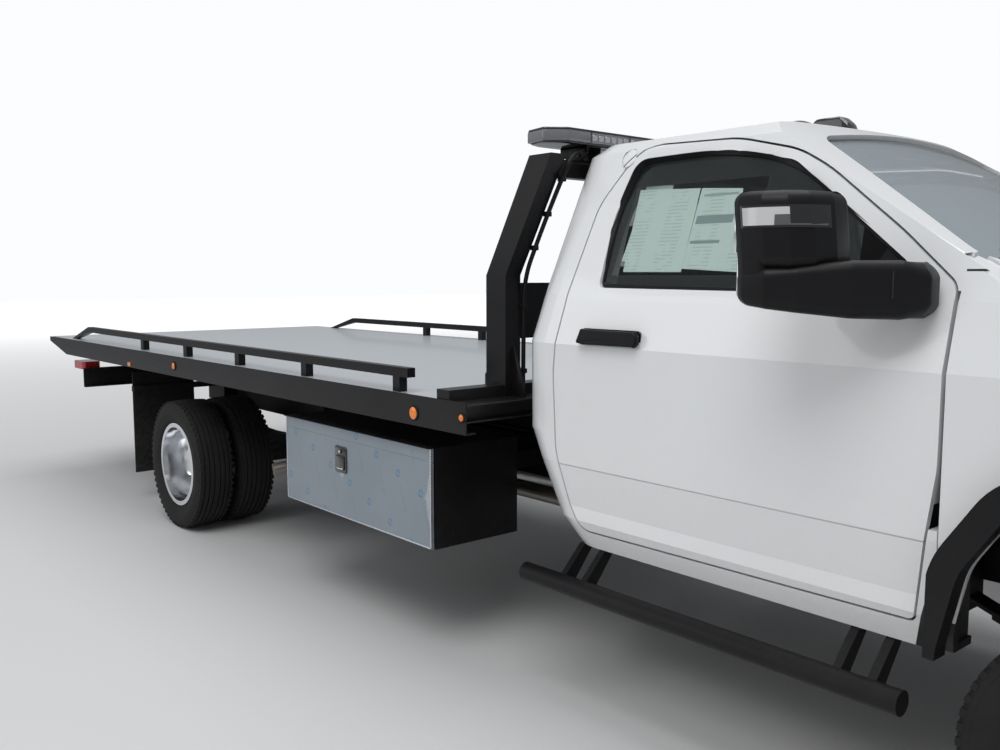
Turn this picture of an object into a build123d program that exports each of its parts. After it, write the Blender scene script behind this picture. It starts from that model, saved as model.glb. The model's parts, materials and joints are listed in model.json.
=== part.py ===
from build123d import *
import os
from math import cos, hypot, radians, sin, sqrt

# Flatbed tow truck: a conventional two-seat chassis truck with a tilting and sliding steel deck.
# Millimetres. +X is forward, +Y is the left side, +Z is up, and Z = 0 is the ground.
# The origin is on the ground below the middle of the whole vehicle.

os.makedirs("parts", exist_ok=True)

# Driving dimensions of the chassis
WHEELBASE = 5194
CAB_TO_AXLE = 3048
FRONT_OVERHANG = 986
DECK_LENGTH = 5490
DECK_TAIL_BEHIND_AXLE = 2480
FRAME_BEHIND_AXLE = 1190
FRAME_WIDTH = 864
FRAME_TOP_Z = 830
FRAME_DEPTH = 178
FRAME_FLANGE = 70
FRAME_PLATE = 8

REAR_AXLE_X = -(WHEELBASE + FRONT_OVERHANG - DECK_TAIL_BEHIND_AXLE) / 2
FRONT_AXLE_X = REAR_AXLE_X + WHEELBASE
NOSE_X = FRONT_AXLE_X + FRONT_OVERHANG
TAIL_X = REAR_AXLE_X - DECK_TAIL_BEHIND_AXLE
DECK_FRONT_X = TAIL_X + DECK_LENGTH
CAB_BACK_X = REAR_AXLE_X + CAB_TO_AXLE
FRAME_REAR_X = REAR_AXLE_X - FRAME_BEHIND_AXLE
FRAME_FRONT_X = NOSE_X - 170
FRAME_HALF = FRAME_WIDTH / 2
FRAME_BOTTOM_Z = FRAME_TOP_Z - FRAME_DEPTH

# Wheels and tyres
TYRE_RADIUS = 405
TYRE_WIDTH = 226
RIM_RADIUS = 262
RIM_BARREL = 236
RIM_WIDTH = 190
DISC_OFFSET = 136
FRONT_WHEEL_Y = 935
REAR_HUB_Y = 937
AXLE_Z = TYRE_RADIUS
RUNNING_FIT = 0.05

# Cab
CAB_HALF = 1010
CAB_WALL = 55
DOOR_WALL = 90
DOOR_SKIN = 22
DOOR_GAP = 7
ROCKER_Z = 590
ROOF_Z = 2125
FLOOR_Z = 880
GLASS = 6
GLASS_INSET = 14

# Deck, its tilt frame and its cylinders
DECK_HALF = 1219
DECK_TOP_Z = 1100
DECK_PLATE = 6
CHANNEL_DEPTH = 125
TILT_BEAM_BOTTOM_Z = 846
TILT_BEAM_TOP_Z = 960
SLIDE_GAP = 6
HINGE_X = FRAME_REAR_X + 110
HINGE_Z = 790
HINGE_PIN_RADIUS = 25
LIFT_BASE_X = -300
LIFT_BASE_Z = 520
LIFT_EYE_X = -1000
LIFT_EYE_Z = 900
LIFT_Y = 230

SIDES = (-1, 1)


# Shapes drawn on one plane and pushed through, added to the part that is being built
def side_slab(points, y_low, y_high, radius=0.0, mode=Mode.ADD):
    with BuildSketch(Plane.XZ.offset(-y_high)) as profile:
        with BuildLine():
            FilletPolyline(*points, radius=radius, close=True)
        make_face()
    extrude(profile.sketch, amount=y_high - y_low, mode=mode)


def section_slab(points, x_low, x_high, radius=0.0, mode=Mode.ADD):
    with BuildSketch(Plane.YZ.offset(x_low)) as profile:
        with BuildLine():
            FilletPolyline(*points, radius=radius, close=True)
        make_face()
    extrude(profile.sketch, amount=x_high - x_low, mode=mode)


def plan_slab(points, z_low, z_high, radius=0.0, mode=Mode.ADD):
    with BuildSketch(Plane.XY.offset(z_low)) as profile:
        with BuildLine():
            FilletPolyline(*points, radius=radius, close=True)
        make_face()
    extrude(profile.sketch, amount=z_high - z_low, mode=mode)


def block(x_low, x_high, y_low, y_high, z_low, z_high, mode=Mode.ADD):
    middle = ((x_low + x_high) / 2, (y_low + y_high) / 2, (z_low + z_high) / 2)
    with Locations(middle):
        Box(x_high - x_low, y_high - y_low, z_high - z_low, mode=mode)


def bar(start, end, radius, mode=Mode.ADD):
    along = Vector(*end) - Vector(*start)
    with BuildSketch(Plane(origin=start, z_dir=along)) as profile:
        Circle(radius)
    extrude(profile.sketch, amount=along.length, mode=mode)


def both_sides():
    mirror(about=Plane.XZ)


def save(part, name):
    part.label = name
    export_step(part, f"parts/{name}.step")


# Chassis frame: two channels, their crossmembers, the cylinder lugs and the hinge holes
rail_section = [
    (FRAME_HALF - FRAME_FLANGE, FRAME_BOTTOM_Z),
    (FRAME_HALF, FRAME_BOTTOM_Z),
    (FRAME_HALF, FRAME_TOP_Z),
    (FRAME_HALF - FRAME_FLANGE, FRAME_TOP_Z),
    (FRAME_HALF - FRAME_FLANGE, FRAME_TOP_Z - FRAME_PLATE),
    (FRAME_HALF - FRAME_PLATE, FRAME_TOP_Z - FRAME_PLATE),
    (FRAME_HALF - FRAME_PLATE, FRAME_BOTTOM_Z + FRAME_PLATE),
    (FRAME_HALF - FRAME_FLANGE, FRAME_BOTTOM_Z + FRAME_PLATE),
]
# Crossmembers: middle X, width along X, lowest Z, highest Z
crossmembers = [
    (FRAME_REAR_X + 20, 40, FRAME_BOTTOM_Z + 10, FRAME_TOP_Z - 14),
    (REAR_AXLE_X - 620, 60, FRAME_BOTTOM_Z + 30, FRAME_TOP_Z - 30),
    (REAR_AXLE_X + 560, 60, FRAME_BOTTOM_Z + 30, FRAME_TOP_Z - 30),
    (LIFT_BASE_X + 30, 90, FRAME_BOTTOM_Z - 40, FRAME_BOTTOM_Z + 60),
    (900, 60, FRAME_BOTTOM_Z + 30, FRAME_TOP_Z - 30),
    (2050, 80, FRAME_BOTTOM_Z + 4, FRAME_BOTTOM_Z + 50),
    (FRAME_FRONT_X - 60, 80, FRAME_BOTTOM_Z + 20, FRAME_TOP_Z - 20),
]
LUG_PLATE = 14
LUG_GAP = 2
EYE_WIDTH = 50
with BuildPart() as frame_rails:
    section_slab(rail_section, FRAME_REAR_X, FRAME_FRONT_X)
    both_sides()
    reach = FRAME_HALF - FRAME_PLATE
    for middle_x, width, low, high in crossmembers:
        block(middle_x - width / 2, middle_x + width / 2, -reach, reach, low, high)
    for side in SIDES:
        for sign in SIDES:
            inner = side * LIFT_Y + sign * (EYE_WIDTH / 2 + LUG_GAP)
            outer = inner + sign * LUG_PLATE
            lug = [
                (LIFT_BASE_X - 45, LIFT_BASE_Z - 45),
                (LIFT_BASE_X + 45, LIFT_BASE_Z - 45),
                (LIFT_BASE_X + 75, FRAME_BOTTOM_Z + 40),
                (LIFT_BASE_X - 15, FRAME_BOTTOM_Z + 40),
            ]
            side_slab(lug, min(inner, outer), max(inner, outer), 8)
        low_y = side * LIFT_Y - EYE_WIDTH / 2 - LUG_GAP - LUG_PLATE
        high_y = side * LIFT_Y + EYE_WIDTH / 2 + LUG_GAP + LUG_PLATE
        bar((LIFT_BASE_X, low_y, LIFT_BASE_Z), (LIFT_BASE_X, high_y, LIFT_BASE_Z), 18)
    for side in SIDES:
        hole_start = (HINGE_X, side * (FRAME_HALF - 20), HINGE_Z)
        hole_end = (HINGE_X, side * (FRAME_HALF + 20), HINGE_Z)
        bar(hole_start, hole_end, HINGE_PIN_RADIUS + RUNNING_FIT, Mode.SUBTRACT)
save(frame_rails.part, "frame_rails")

# Tilt frame: two beams with flanges, crossmembers, hinge lugs with pins and the slide barrel
BEAM_OUT = FRAME_HALF
BEAM_IN = FRAME_HALF - 90
BEAM_FLANGE = 12
BEAM_WEB_IN = FRAME_HALF - 55
BEAM_WEB_OUT = FRAME_HALF - 43
TILT_REAR_X = HINGE_X - 20
TILT_FRONT_X = DECK_FRONT_X - 180
SLIDE_ROD_Z = 900
SLIDE_ROD_RADIUS = 25
SLIDE_BORE = 41
SLIDE_BARREL = 50
SLIDE_BARREL_REAR_X = HINGE_X + 150
SLIDE_BARREL_FRONT_X = TILT_FRONT_X - 180
beam_section = [
    (BEAM_IN, TILT_BEAM_BOTTOM_Z),
    (BEAM_OUT, TILT_BEAM_BOTTOM_Z),
    (BEAM_OUT, TILT_BEAM_BOTTOM_Z + BEAM_FLANGE),
    (BEAM_WEB_OUT, TILT_BEAM_BOTTOM_Z + BEAM_FLANGE),
    (BEAM_WEB_OUT, TILT_BEAM_TOP_Z - BEAM_FLANGE),
    (BEAM_OUT, TILT_BEAM_TOP_Z - BEAM_FLANGE),
    (BEAM_OUT, TILT_BEAM_TOP_Z),
    (BEAM_IN, TILT_BEAM_TOP_Z),
    (BEAM_IN, TILT_BEAM_TOP_Z - BEAM_FLANGE),
    (BEAM_WEB_IN, TILT_BEAM_TOP_Z - BEAM_FLANGE),
    (BEAM_WEB_IN, TILT_BEAM_BOTTOM_Z + BEAM_FLANGE),
    (BEAM_IN, TILT_BEAM_BOTTOM_Z + BEAM_FLANGE),
]
LUG_IN = FRAME_HALF - 96
LUG_OUT = FRAME_HALF - 76
PIN_OUT = FRAME_HALF + 14
EYE_RADIUS = 45
TAIL_PLATE_X = -3600
TAIL_PLATE_HALF = 1184
TAIL_PLATE_LOW_Z = 740
TAIL_PLATE_HIGH_Z = 885
TAIL_ARM_X = HINGE_X + 240
tilt_crossmembers = [
    HINGE_X + 250,
    REAR_AXLE_X + 120,
    LIFT_EYE_X - 180,
    120,
    TILT_FRONT_X - 40,
]
with BuildPart() as tilt_frame:
    section_slab(beam_section, TILT_REAR_X, TILT_FRONT_X)
    side_slab(
        [
            (HINGE_X - 45, HINGE_Z - 40),
            (HINGE_X + 45, HINGE_Z - 40),
            (HINGE_X + 130, TILT_BEAM_TOP_Z - 6),
            (TILT_REAR_X, TILT_BEAM_TOP_Z - 6),
        ],
        LUG_IN,
        LUG_OUT,
        10,
    )
    bar((HINGE_X, LUG_IN, HINGE_Z), (HINGE_X, PIN_OUT, HINGE_Z), HINGE_PIN_RADIUS)
    both_sides()
    for middle_x in tilt_crossmembers:
        block(middle_x - 30, middle_x + 30, -BEAM_WEB_IN, BEAM_WEB_IN, 862, 942)
    for side in SIDES:
        for sign in SIDES:
            inner = side * LIFT_Y + sign * (EYE_WIDTH / 2 + LUG_GAP + 8)
            outer = inner + sign * LUG_PLATE
            lug = [
                (LIFT_EYE_X - 200, LIFT_EYE_Z - 38),
                (LIFT_EYE_X + 34, LIFT_EYE_Z - 38),
                (LIFT_EYE_X + 34, LIFT_EYE_Z + 38),
                (LIFT_EYE_X - 200, LIFT_EYE_Z + 38),
            ]
            side_slab(lug, min(inner, outer), max(inner, outer), 8)
    bar((SLIDE_BARREL_REAR_X, 0, SLIDE_ROD_Z), (SLIDE_BARREL_FRONT_X, 0, SLIDE_ROD_Z), SLIDE_BARREL)
    bar(
        (SLIDE_BARREL_REAR_X, 0, SLIDE_ROD_Z),
        (SLIDE_BARREL_FRONT_X - 20, 0, SLIDE_ROD_Z),
        SLIDE_BORE,
        Mode.SUBTRACT,
    )
    for side in SIDES:
        low_y = min(side * 300, side * 352)
        high_y = max(side * 300, side * 352)
        block(TAIL_PLATE_X - 6, TAIL_ARM_X, low_y, high_y, 860, 912)
    tail_plate = [
        (TAIL_PLATE_X - 12, TAIL_PLATE_LOW_Z),
        (TAIL_PLATE_X + 28, TAIL_PLATE_LOW_Z),
        (TAIL_PLATE_X + 28, TAIL_PLATE_LOW_Z + 8),
        (TAIL_PLATE_X, TAIL_PLATE_LOW_Z + 8),
        (TAIL_PLATE_X, TAIL_PLATE_HIGH_Z - 8),
        (TAIL_PLATE_X + 28, TAIL_PLATE_HIGH_Z - 8),
        (TAIL_PLATE_X + 28, TAIL_PLATE_HIGH_Z),
        (TAIL_PLATE_X - 12, TAIL_PLATE_HIGH_Z),
    ]
    side_slab(tail_plate, -TAIL_PLATE_HALF, TAIL_PLATE_HALF)
    block(TAIL_PLATE_X - 14, TAIL_PLATE_X + 30, -120, 120, 848, 920, Mode.SUBTRACT)
save(tilt_frame.part, "tilt_frame")

# Lift cylinders: two barrels on the chassis lugs and two rods up to the tilt frame
lift_run = hypot(LIFT_EYE_X - LIFT_BASE_X, LIFT_EYE_Z - LIFT_BASE_Z)
LIFT_AXIS = ((LIFT_EYE_X - LIFT_BASE_X) / lift_run, (LIFT_EYE_Z - LIFT_BASE_Z) / lift_run)
BARREL_RADIUS = 45
BARREL_BORE = 36
LIFT_ROD_RADIUS = 25
LIFT_BARREL_LENGTH = lift_run - 85


def lift_point(distance, y):
    return (LIFT_BASE_X + LIFT_AXIS[0] * distance, y, LIFT_BASE_Z + LIFT_AXIS[1] * distance)


with BuildPart() as lift_barrels:
    for side in SIDES:
        middle_y = side * LIFT_Y
        bar(lift_point(105, middle_y), lift_point(LIFT_BARREL_LENGTH, middle_y), BARREL_RADIUS)
        bar(lift_point(20, middle_y), lift_point(110, middle_y), 24)
        low = (LIFT_BASE_X, middle_y - EYE_WIDTH / 2, LIFT_BASE_Z)
        high = (LIFT_BASE_X, middle_y + EYE_WIDTH / 2, LIFT_BASE_Z)
        bar(low, high, 42)
        bar(
            lift_point(125, middle_y),
            lift_point(LIFT_BARREL_LENGTH + 1, middle_y),
            BARREL_BORE,
            Mode.SUBTRACT,
        )
        bar(low, high, 18 + RUNNING_FIT, Mode.SUBTRACT)
save(lift_barrels.part, "lift_barrels")

with BuildPart() as lift_rods:
    for side in SIDES:
        middle_y = side * LIFT_Y
        bar(lift_point(150, middle_y), lift_point(lift_run - 25, middle_y), LIFT_ROD_RADIUS)
        bar(lift_point(145, middle_y), lift_point(200, middle_y), BARREL_BORE - 0.5)
        low = (LIFT_EYE_X, middle_y - EYE_WIDTH / 2, LIFT_EYE_Z)
        high = (LIFT_EYE_X, middle_y + EYE_WIDTH / 2, LIFT_EYE_Z)
        bar(low, high, EYE_RADIUS)
        bar(low, high, 19, Mode.SUBTRACT)
save(lift_rods.part, "lift_rods")

# Deck floor: plate, crossmembers, runners round the tilt beams and the slide rod with its bracket
PLATE_UNDER_Z = DECK_TOP_Z - DECK_PLATE
RUNNER_BOTTOM_Z = TILT_BEAM_TOP_Z + SLIDE_GAP
CROSS_BOTTOM_Z = 1018
CROSS_PITCH = 375
CROSS_COUNT = 14
TAIL_TAPER = 430
CHANNEL_PLATE = 6
RUNNER_REAR_X = TAIL_X + TAIL_TAPER + 40
RUNNER_FRONT_X = DECK_FRONT_X - 60
guide_in = BEAM_OUT + SLIDE_GAP
with BuildPart() as deck_floor:
    block(TAIL_X + 60, DECK_FRONT_X, -DECK_HALF + 8, DECK_HALF - 8, PLATE_UNDER_Z, DECK_TOP_Z)
    for number in range(CROSS_COUNT):
        back_x = DECK_FRONT_X - 110 - number * CROSS_PITCH
        channel = [
            (back_x, CROSS_BOTTOM_Z),
            (back_x + 60, CROSS_BOTTOM_Z),
            (back_x + 60, CROSS_BOTTOM_Z + 7),
            (back_x + 7, CROSS_BOTTOM_Z + 7),
            (back_x + 7, PLATE_UNDER_Z - 7),
            (back_x + 60, PLATE_UNDER_Z - 7),
            (back_x + 60, PLATE_UNDER_Z),
            (back_x, PLATE_UNDER_Z),
        ]
        side_slab(channel, -DECK_HALF + 8, DECK_HALF - 8)
    for side in SIDES:
        runner = [
            (side * (guide_in - 10), CROSS_BOTTOM_Z + 4),
            (side * (guide_in - 10), RUNNER_BOTTOM_Z + 12),
            (side * (BEAM_OUT - 80), RUNNER_BOTTOM_Z + 12),
            (side * (BEAM_OUT - 80), RUNNER_BOTTOM_Z),
            (side * guide_in, RUNNER_BOTTOM_Z),
            (side * guide_in, TILT_BEAM_TOP_Z - BEAM_FLANGE - SLIDE_GAP),
            (side * (guide_in - 24), TILT_BEAM_TOP_Z - BEAM_FLANGE - SLIDE_GAP),
            (side * (guide_in - 24), TILT_BEAM_TOP_Z - BEAM_FLANGE - SLIDE_GAP - 10),
            (side * (guide_in + 12), TILT_BEAM_TOP_Z - BEAM_FLANGE - SLIDE_GAP - 10),
            (side * (guide_in + 12), CROSS_BOTTOM_Z + 4),
        ]
        section_slab(runner, RUNNER_REAR_X, RUNNER_FRONT_X)
    bracket_x = SLIDE_BARREL_REAR_X - 60
    block(bracket_x - 12, bracket_x + 12, -60, 60, SLIDE_ROD_Z - 30, CROSS_BOTTOM_Z + 20)
    block(bracket_x - 12, bracket_x + 12, -(BEAM_OUT - 70), BEAM_OUT - 70, RUNNER_BOTTOM_Z, CROSS_BOTTOM_Z + 20)
    bar((bracket_x, 0, SLIDE_ROD_Z), (SLIDE_BARREL_FRONT_X - 60, 0, SLIDE_ROD_Z), SLIDE_ROD_RADIUS)
    bar(
        (SLIDE_BARREL_FRONT_X - 110, 0, SLIDE_ROD_Z),
        (SLIDE_BARREL_FRONT_X - 60, 0, SLIDE_ROD_Z),
        SLIDE_BORE - 0.5,
    )
save(deck_floor.part, "deck_floor")

# Deck side channels with the long tapered tail, and the front crossmember that joins them
channel_outline = [
    (TAIL_X, DECK_TOP_Z - 4),
    (DECK_FRONT_X, DECK_TOP_Z + 8),
    (DECK_FRONT_X, DECK_TOP_Z + 8 - CHANNEL_DEPTH),
    (TAIL_X + TAIL_TAPER, DECK_TOP_Z - CHANNEL_DEPTH),
    (TAIL_X, DECK_TOP_Z - 38),
]
with BuildPart() as side_channels:
    side_slab(channel_outline, DECK_HALF - CHANNEL_PLATE, DECK_HALF)
    side_slab(
        [
            (TAIL_X + TAIL_TAPER, DECK_TOP_Z - CHANNEL_DEPTH),
            (DECK_FRONT_X, DECK_TOP_Z + 8 - CHANNEL_DEPTH),
            (DECK_FRONT_X, DECK_TOP_Z + 14 - CHANNEL_DEPTH),
            (TAIL_X + TAIL_TAPER, DECK_TOP_Z + 6 - CHANNEL_DEPTH),
        ],
        DECK_HALF - 50,
        DECK_HALF - CHANNEL_PLATE,
    )
    both_sides()
save(side_channels.part, "side_channels")

# Side rails: a square bar with a sloping rear end on short posts, one each side
RAIL_Y = 1155
RAIL_SIZE = 40
RAIL_TOP_Z = 1205
RAIL_FRONT_X = DECK_FRONT_X - 445
RAIL_KNEE_X = TAIL_X + 850
RAIL_SLOPE_X = TAIL_X + 450
RAIL_POSTS = (-2358, -1639, -920, -172, 630)
with BuildPart() as side_rails:
    rail = [
        (RAIL_SLOPE_X, DECK_TOP_Z),
        (RAIL_SLOPE_X + 70, DECK_TOP_Z),
        (RAIL_KNEE_X + 15, RAIL_TOP_Z - RAIL_SIZE),
        (RAIL_FRONT_X, RAIL_TOP_Z - RAIL_SIZE),
        (RAIL_FRONT_X, RAIL_TOP_Z),
        (RAIL_KNEE_X, RAIL_TOP_Z),
    ]
    side_slab(rail, RAIL_Y - RAIL_SIZE / 2, RAIL_Y + RAIL_SIZE / 2)
    for post_x in RAIL_POSTS:
        block(
            post_x - 25,
            post_x + 25,
            RAIL_Y - RAIL_SIZE / 2,
            RAIL_Y + RAIL_SIZE / 2,
            DECK_TOP_Z,
            RAIL_TOP_Z - RAIL_SIZE / 2,
        )
    both_sides()
save(side_rails.part, "side_rails")

# Headboard: two box posts that lean forward above a knee, a cross tube and a lower panel
POST_OUT = 930
POST_WIDTH = 80
POST_DEPTH = 122
POST_BASE_X = DECK_FRONT_X - 225
KNEE_Z = 1590
HEAD_TOP_Z = 2050
HEAD_LEAN = 262
head_post = [
    (POST_BASE_X, DECK_TOP_Z),
    (POST_BASE_X + POST_DEPTH, DECK_TOP_Z),
    (POST_BASE_X + POST_DEPTH, KNEE_Z),
    (POST_BASE_X + POST_DEPTH + HEAD_LEAN, HEAD_TOP_Z),
    (POST_BASE_X + HEAD_LEAN, HEAD_TOP_Z),
    (POST_BASE_X, KNEE_Z),
]
HEAD_TUBE_X = POST_BASE_X + HEAD_LEAN - 30
with BuildPart() as headboard:
    side_slab(head_post, POST_OUT - POST_WIDTH, POST_OUT)
    block(
        POST_BASE_X - 75,
        POST_BASE_X,
        POST_OUT - 70,
        POST_OUT - 55,
        DECK_TOP_Z,
        DECK_TOP_Z + 75,
    )
    both_sides()
    reach = POST_OUT - POST_WIDTH + 5
    tube = [
        (HEAD_TUBE_X, HEAD_TOP_Z - 75),
        (HEAD_TUBE_X + 60, HEAD_TOP_Z - 75),
        (HEAD_TUBE_X + 60, HEAD_TOP_Z - 5),
        (HEAD_TUBE_X, HEAD_TOP_Z - 5),
    ]
    side_slab(tube, -reach, reach, 8)
    panel_x = POST_BASE_X + 70
    block(panel_x, panel_x + 8, -reach, reach, 1330, 1560)
    block(POST_BASE_X + 30, POST_BASE_X + 110, -DECK_HALF + 10, DECK_HALF - 10, DECK_TOP_Z, DECK_TOP_Z + 45)
save(headboard.part, "headboard")

# Beacon light bar on brackets above the cross tube
BEACON_HALF = 885
BEACON_LOW_Z = 2106
BEACON_HIGH_Z = 2160
BEACON_X = HEAD_TUBE_X + 60
BEACON_DEPTH = 300
with BuildPart() as light_bar:
    taper = 90
    plan_slab(
        [
            (BEACON_X - BEACON_DEPTH / 2 + taper / 2, -BEACON_HALF),
            (BEACON_X + BEACON_DEPTH / 2 - taper, -BEACON_HALF),
            (BEACON_X + BEACON_DEPTH / 2, -BEACON_HALF + taper * 2),
            (BEACON_X + BEACON_DEPTH / 2, BEACON_HALF - taper * 2),
            (BEACON_X + BEACON_DEPTH / 2 - taper, BEACON_HALF),
            (BEACON_X - BEACON_DEPTH / 2 + taper / 2, BEACON_HALF),
            (BEACON_X - BEACON_DEPTH / 2, BEACON_HALF - taper),
            (BEACON_X - BEACON_DEPTH / 2, -BEACON_HALF + taper),
        ],
        BEACON_LOW_Z,
        BEACON_HIGH_Z,
        20,
    )
    for side in SIDES:
        block(
            HEAD_TUBE_X + 5,
            HEAD_TUBE_X + 55,
            side * 640 - 40,
            side * 640 + 40,
            HEAD_TOP_Z - 5,
            BEACON_LOW_Z,
        )
save(light_bar.part, "light_bar")

# Winch at the deck front: side frames, motor and gearbox, tie bars; the rope drum turns between them
WINCH_X = POST_BASE_X - 170
WINCH_Z = DECK_TOP_Z + 150
DRUM_HALF = 140
DRUM_RADIUS = 60
DRUM_FLANGE = 110
WINCH_PLATE = 16
with BuildPart() as winch:
    for side in SIDES:
        inner = side * (DRUM_HALF + 6)
        outer = side * (DRUM_HALF + 6 + WINCH_PLATE)
        cheek = [
            (WINCH_X - 130, DECK_TOP_Z),
            (WINCH_X + 130, DECK_TOP_Z),
            (WINCH_X + 90, WINCH_Z + 80),
            (WINCH_X - 90, WINCH_Z + 80),
        ]
        side_slab(cheek, min(inner, outer), max(inner, outer), 12)
    reach = DRUM_HALF + 10
    bar((WINCH_X + 100, -reach, DECK_TOP_Z + 40), (WINCH_X + 100, reach, DECK_TOP_Z + 40), 14)
    bar((WINCH_X - 100, -reach, DECK_TOP_Z + 40), (WINCH_X - 100, reach, DECK_TOP_Z + 40), 14)
    motor_start = DRUM_HALF + 6 + WINCH_PLATE
    bar((WINCH_X, motor_start, WINCH_Z), (WINCH_X, motor_start + 190, WINCH_Z), 62)
    bar((WINCH_X, -motor_start, WINCH_Z), (WINCH_X, -motor_start - 120, WINCH_Z), 85)
    for side in SIDES:
        start = (WINCH_X, side * (DRUM_HALF + 2), WINCH_Z)
        end = (WINCH_X, side * (DRUM_HALF + 6 + WINCH_PLATE), WINCH_Z)
        bar(start, end, 22 + RUNNING_FIT, Mode.SUBTRACT)
save(winch.part, "winch")

with BuildPart() as winch_drum:
    half = DRUM_HALF
    with BuildSketch(Plane.XY.offset(WINCH_Z)) as profile:
        with BuildLine():
            Polyline(
                (WINCH_X, -half - 18),
                (WINCH_X + 22, -half - 18),
                (WINCH_X + 22, -half),
                (WINCH_X + DRUM_FLANGE, -half),
                (WINCH_X + DRUM_FLANGE, -half + 10),
                (WINCH_X + 84, -half + 10),
                (WINCH_X + 84, half - 10),
                (WINCH_X + DRUM_FLANGE, half - 10),
                (WINCH_X + DRUM_FLANGE, half),
                (WINCH_X + 22, half),
                (WINCH_X + 22, half + 18),
                (WINCH_X, half + 18),
                close=True,
            )
        make_face()
    revolve(profile.sketch, axis=Axis((WINCH_X, 0, WINCH_Z), (0, 1, 0)))
save(winch_drum.part, "winch_drum")

# Tail lamps on the plate behind the tilt frame: round lamps low down and a long pod at each end
LAMP_FACE_X = TAIL_PLATE_X - 12
TAIL_LAMP_RADIUS = 52
with BuildPart() as tail_lamps:
    for lamp_y in (760, 890, 1020):
        middle_z = (TAIL_PLATE_LOW_Z + TAIL_PLATE_HIGH_Z) / 2 - 4
        bar((LAMP_FACE_X, lamp_y, middle_z), (LAMP_FACE_X - 26, lamp_y, middle_z), TAIL_LAMP_RADIUS)
    plan_slab(
        [
            (LAMP_FACE_X - 218, 1052),
            (LAMP_FACE_X, 1052),
            (LAMP_FACE_X, 1188),
            (LAMP_FACE_X - 218, 1188),
        ],
        875,
        932,
        26,
    )
    both_sides()
save(tail_lamps.part, "tail_lamps")

# Tyres and wheels, each spun round the axle line from a half section
# Tyre section: distance from the middle plane, radius
tyre_section = [
    (-0.35 * TYRE_WIDTH, RIM_BARREL + 9),
    (-0.35 * TYRE_WIDTH, RIM_RADIUS + 1),
    (-0.46 * TYRE_WIDTH, RIM_RADIUS + 11),
    (-0.50 * TYRE_WIDTH, (RIM_RADIUS + TYRE_RADIUS) / 2),
    (-0.45 * TYRE_WIDTH, TYRE_RADIUS - 22),
    (-0.38 * TYRE_WIDTH, TYRE_RADIUS - 5),
    (-0.20 * TYRE_WIDTH, TYRE_RADIUS),
    (0.20 * TYRE_WIDTH, TYRE_RADIUS),
    (0.38 * TYRE_WIDTH, TYRE_RADIUS - 5),
    (0.45 * TYRE_WIDTH, TYRE_RADIUS - 22),
    (0.50 * TYRE_WIDTH, (RIM_RADIUS + TYRE_RADIUS) / 2),
    (0.46 * TYRE_WIDTH, RIM_RADIUS + 11),
    (0.35 * TYRE_WIDTH, RIM_RADIUS + 1),
    (0.35 * TYRE_WIDTH, RIM_BARREL + 9),
]


def spin_ring(points, axle_x, middle_y, mode=Mode.ADD):
    placed = [(axle_x + radius, middle_y + across) for across, radius in points]
    with BuildSketch(Plane.XY.offset(AXLE_Z)) as profile:
        with BuildLine():
            Polyline(*placed, close=True)
        make_face()
    revolve(profile.sketch, axis=Axis((axle_x, 0, AXLE_Z), (0, 1, 0)), mode=mode)


# Rim section with the disc standing out on the side given by the sign
def rim_section(sign):
    half = RIM_WIDTH / 2
    face = DISC_OFFSET
    return [
        (-sign * half, RIM_RADIUS - 1),
        (-sign * (half - 12), RIM_RADIUS - 1),
        (-sign * (half - 14), RIM_BARREL + 8),
        (sign * (half - 14), RIM_BARREL + 8),
        (sign * (half - 12), RIM_RADIUS - 1),
        (sign * half, RIM_RADIUS - 1),
        (sign * half, RIM_BARREL - 2),
        (sign * (face - 28), RIM_BARREL - 30),
        (sign * face, RIM_BARREL - 80),
        (sign * face, 75),
        (sign * (face - 12), 75),
        (sign * (face - 12), RIM_BARREL - 84),
        (sign * (face - 44), RIM_BARREL - 34),
        (sign * (half - 24), RIM_BARREL - 8),
        (-sign * half, RIM_BARREL - 2),
    ]


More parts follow.
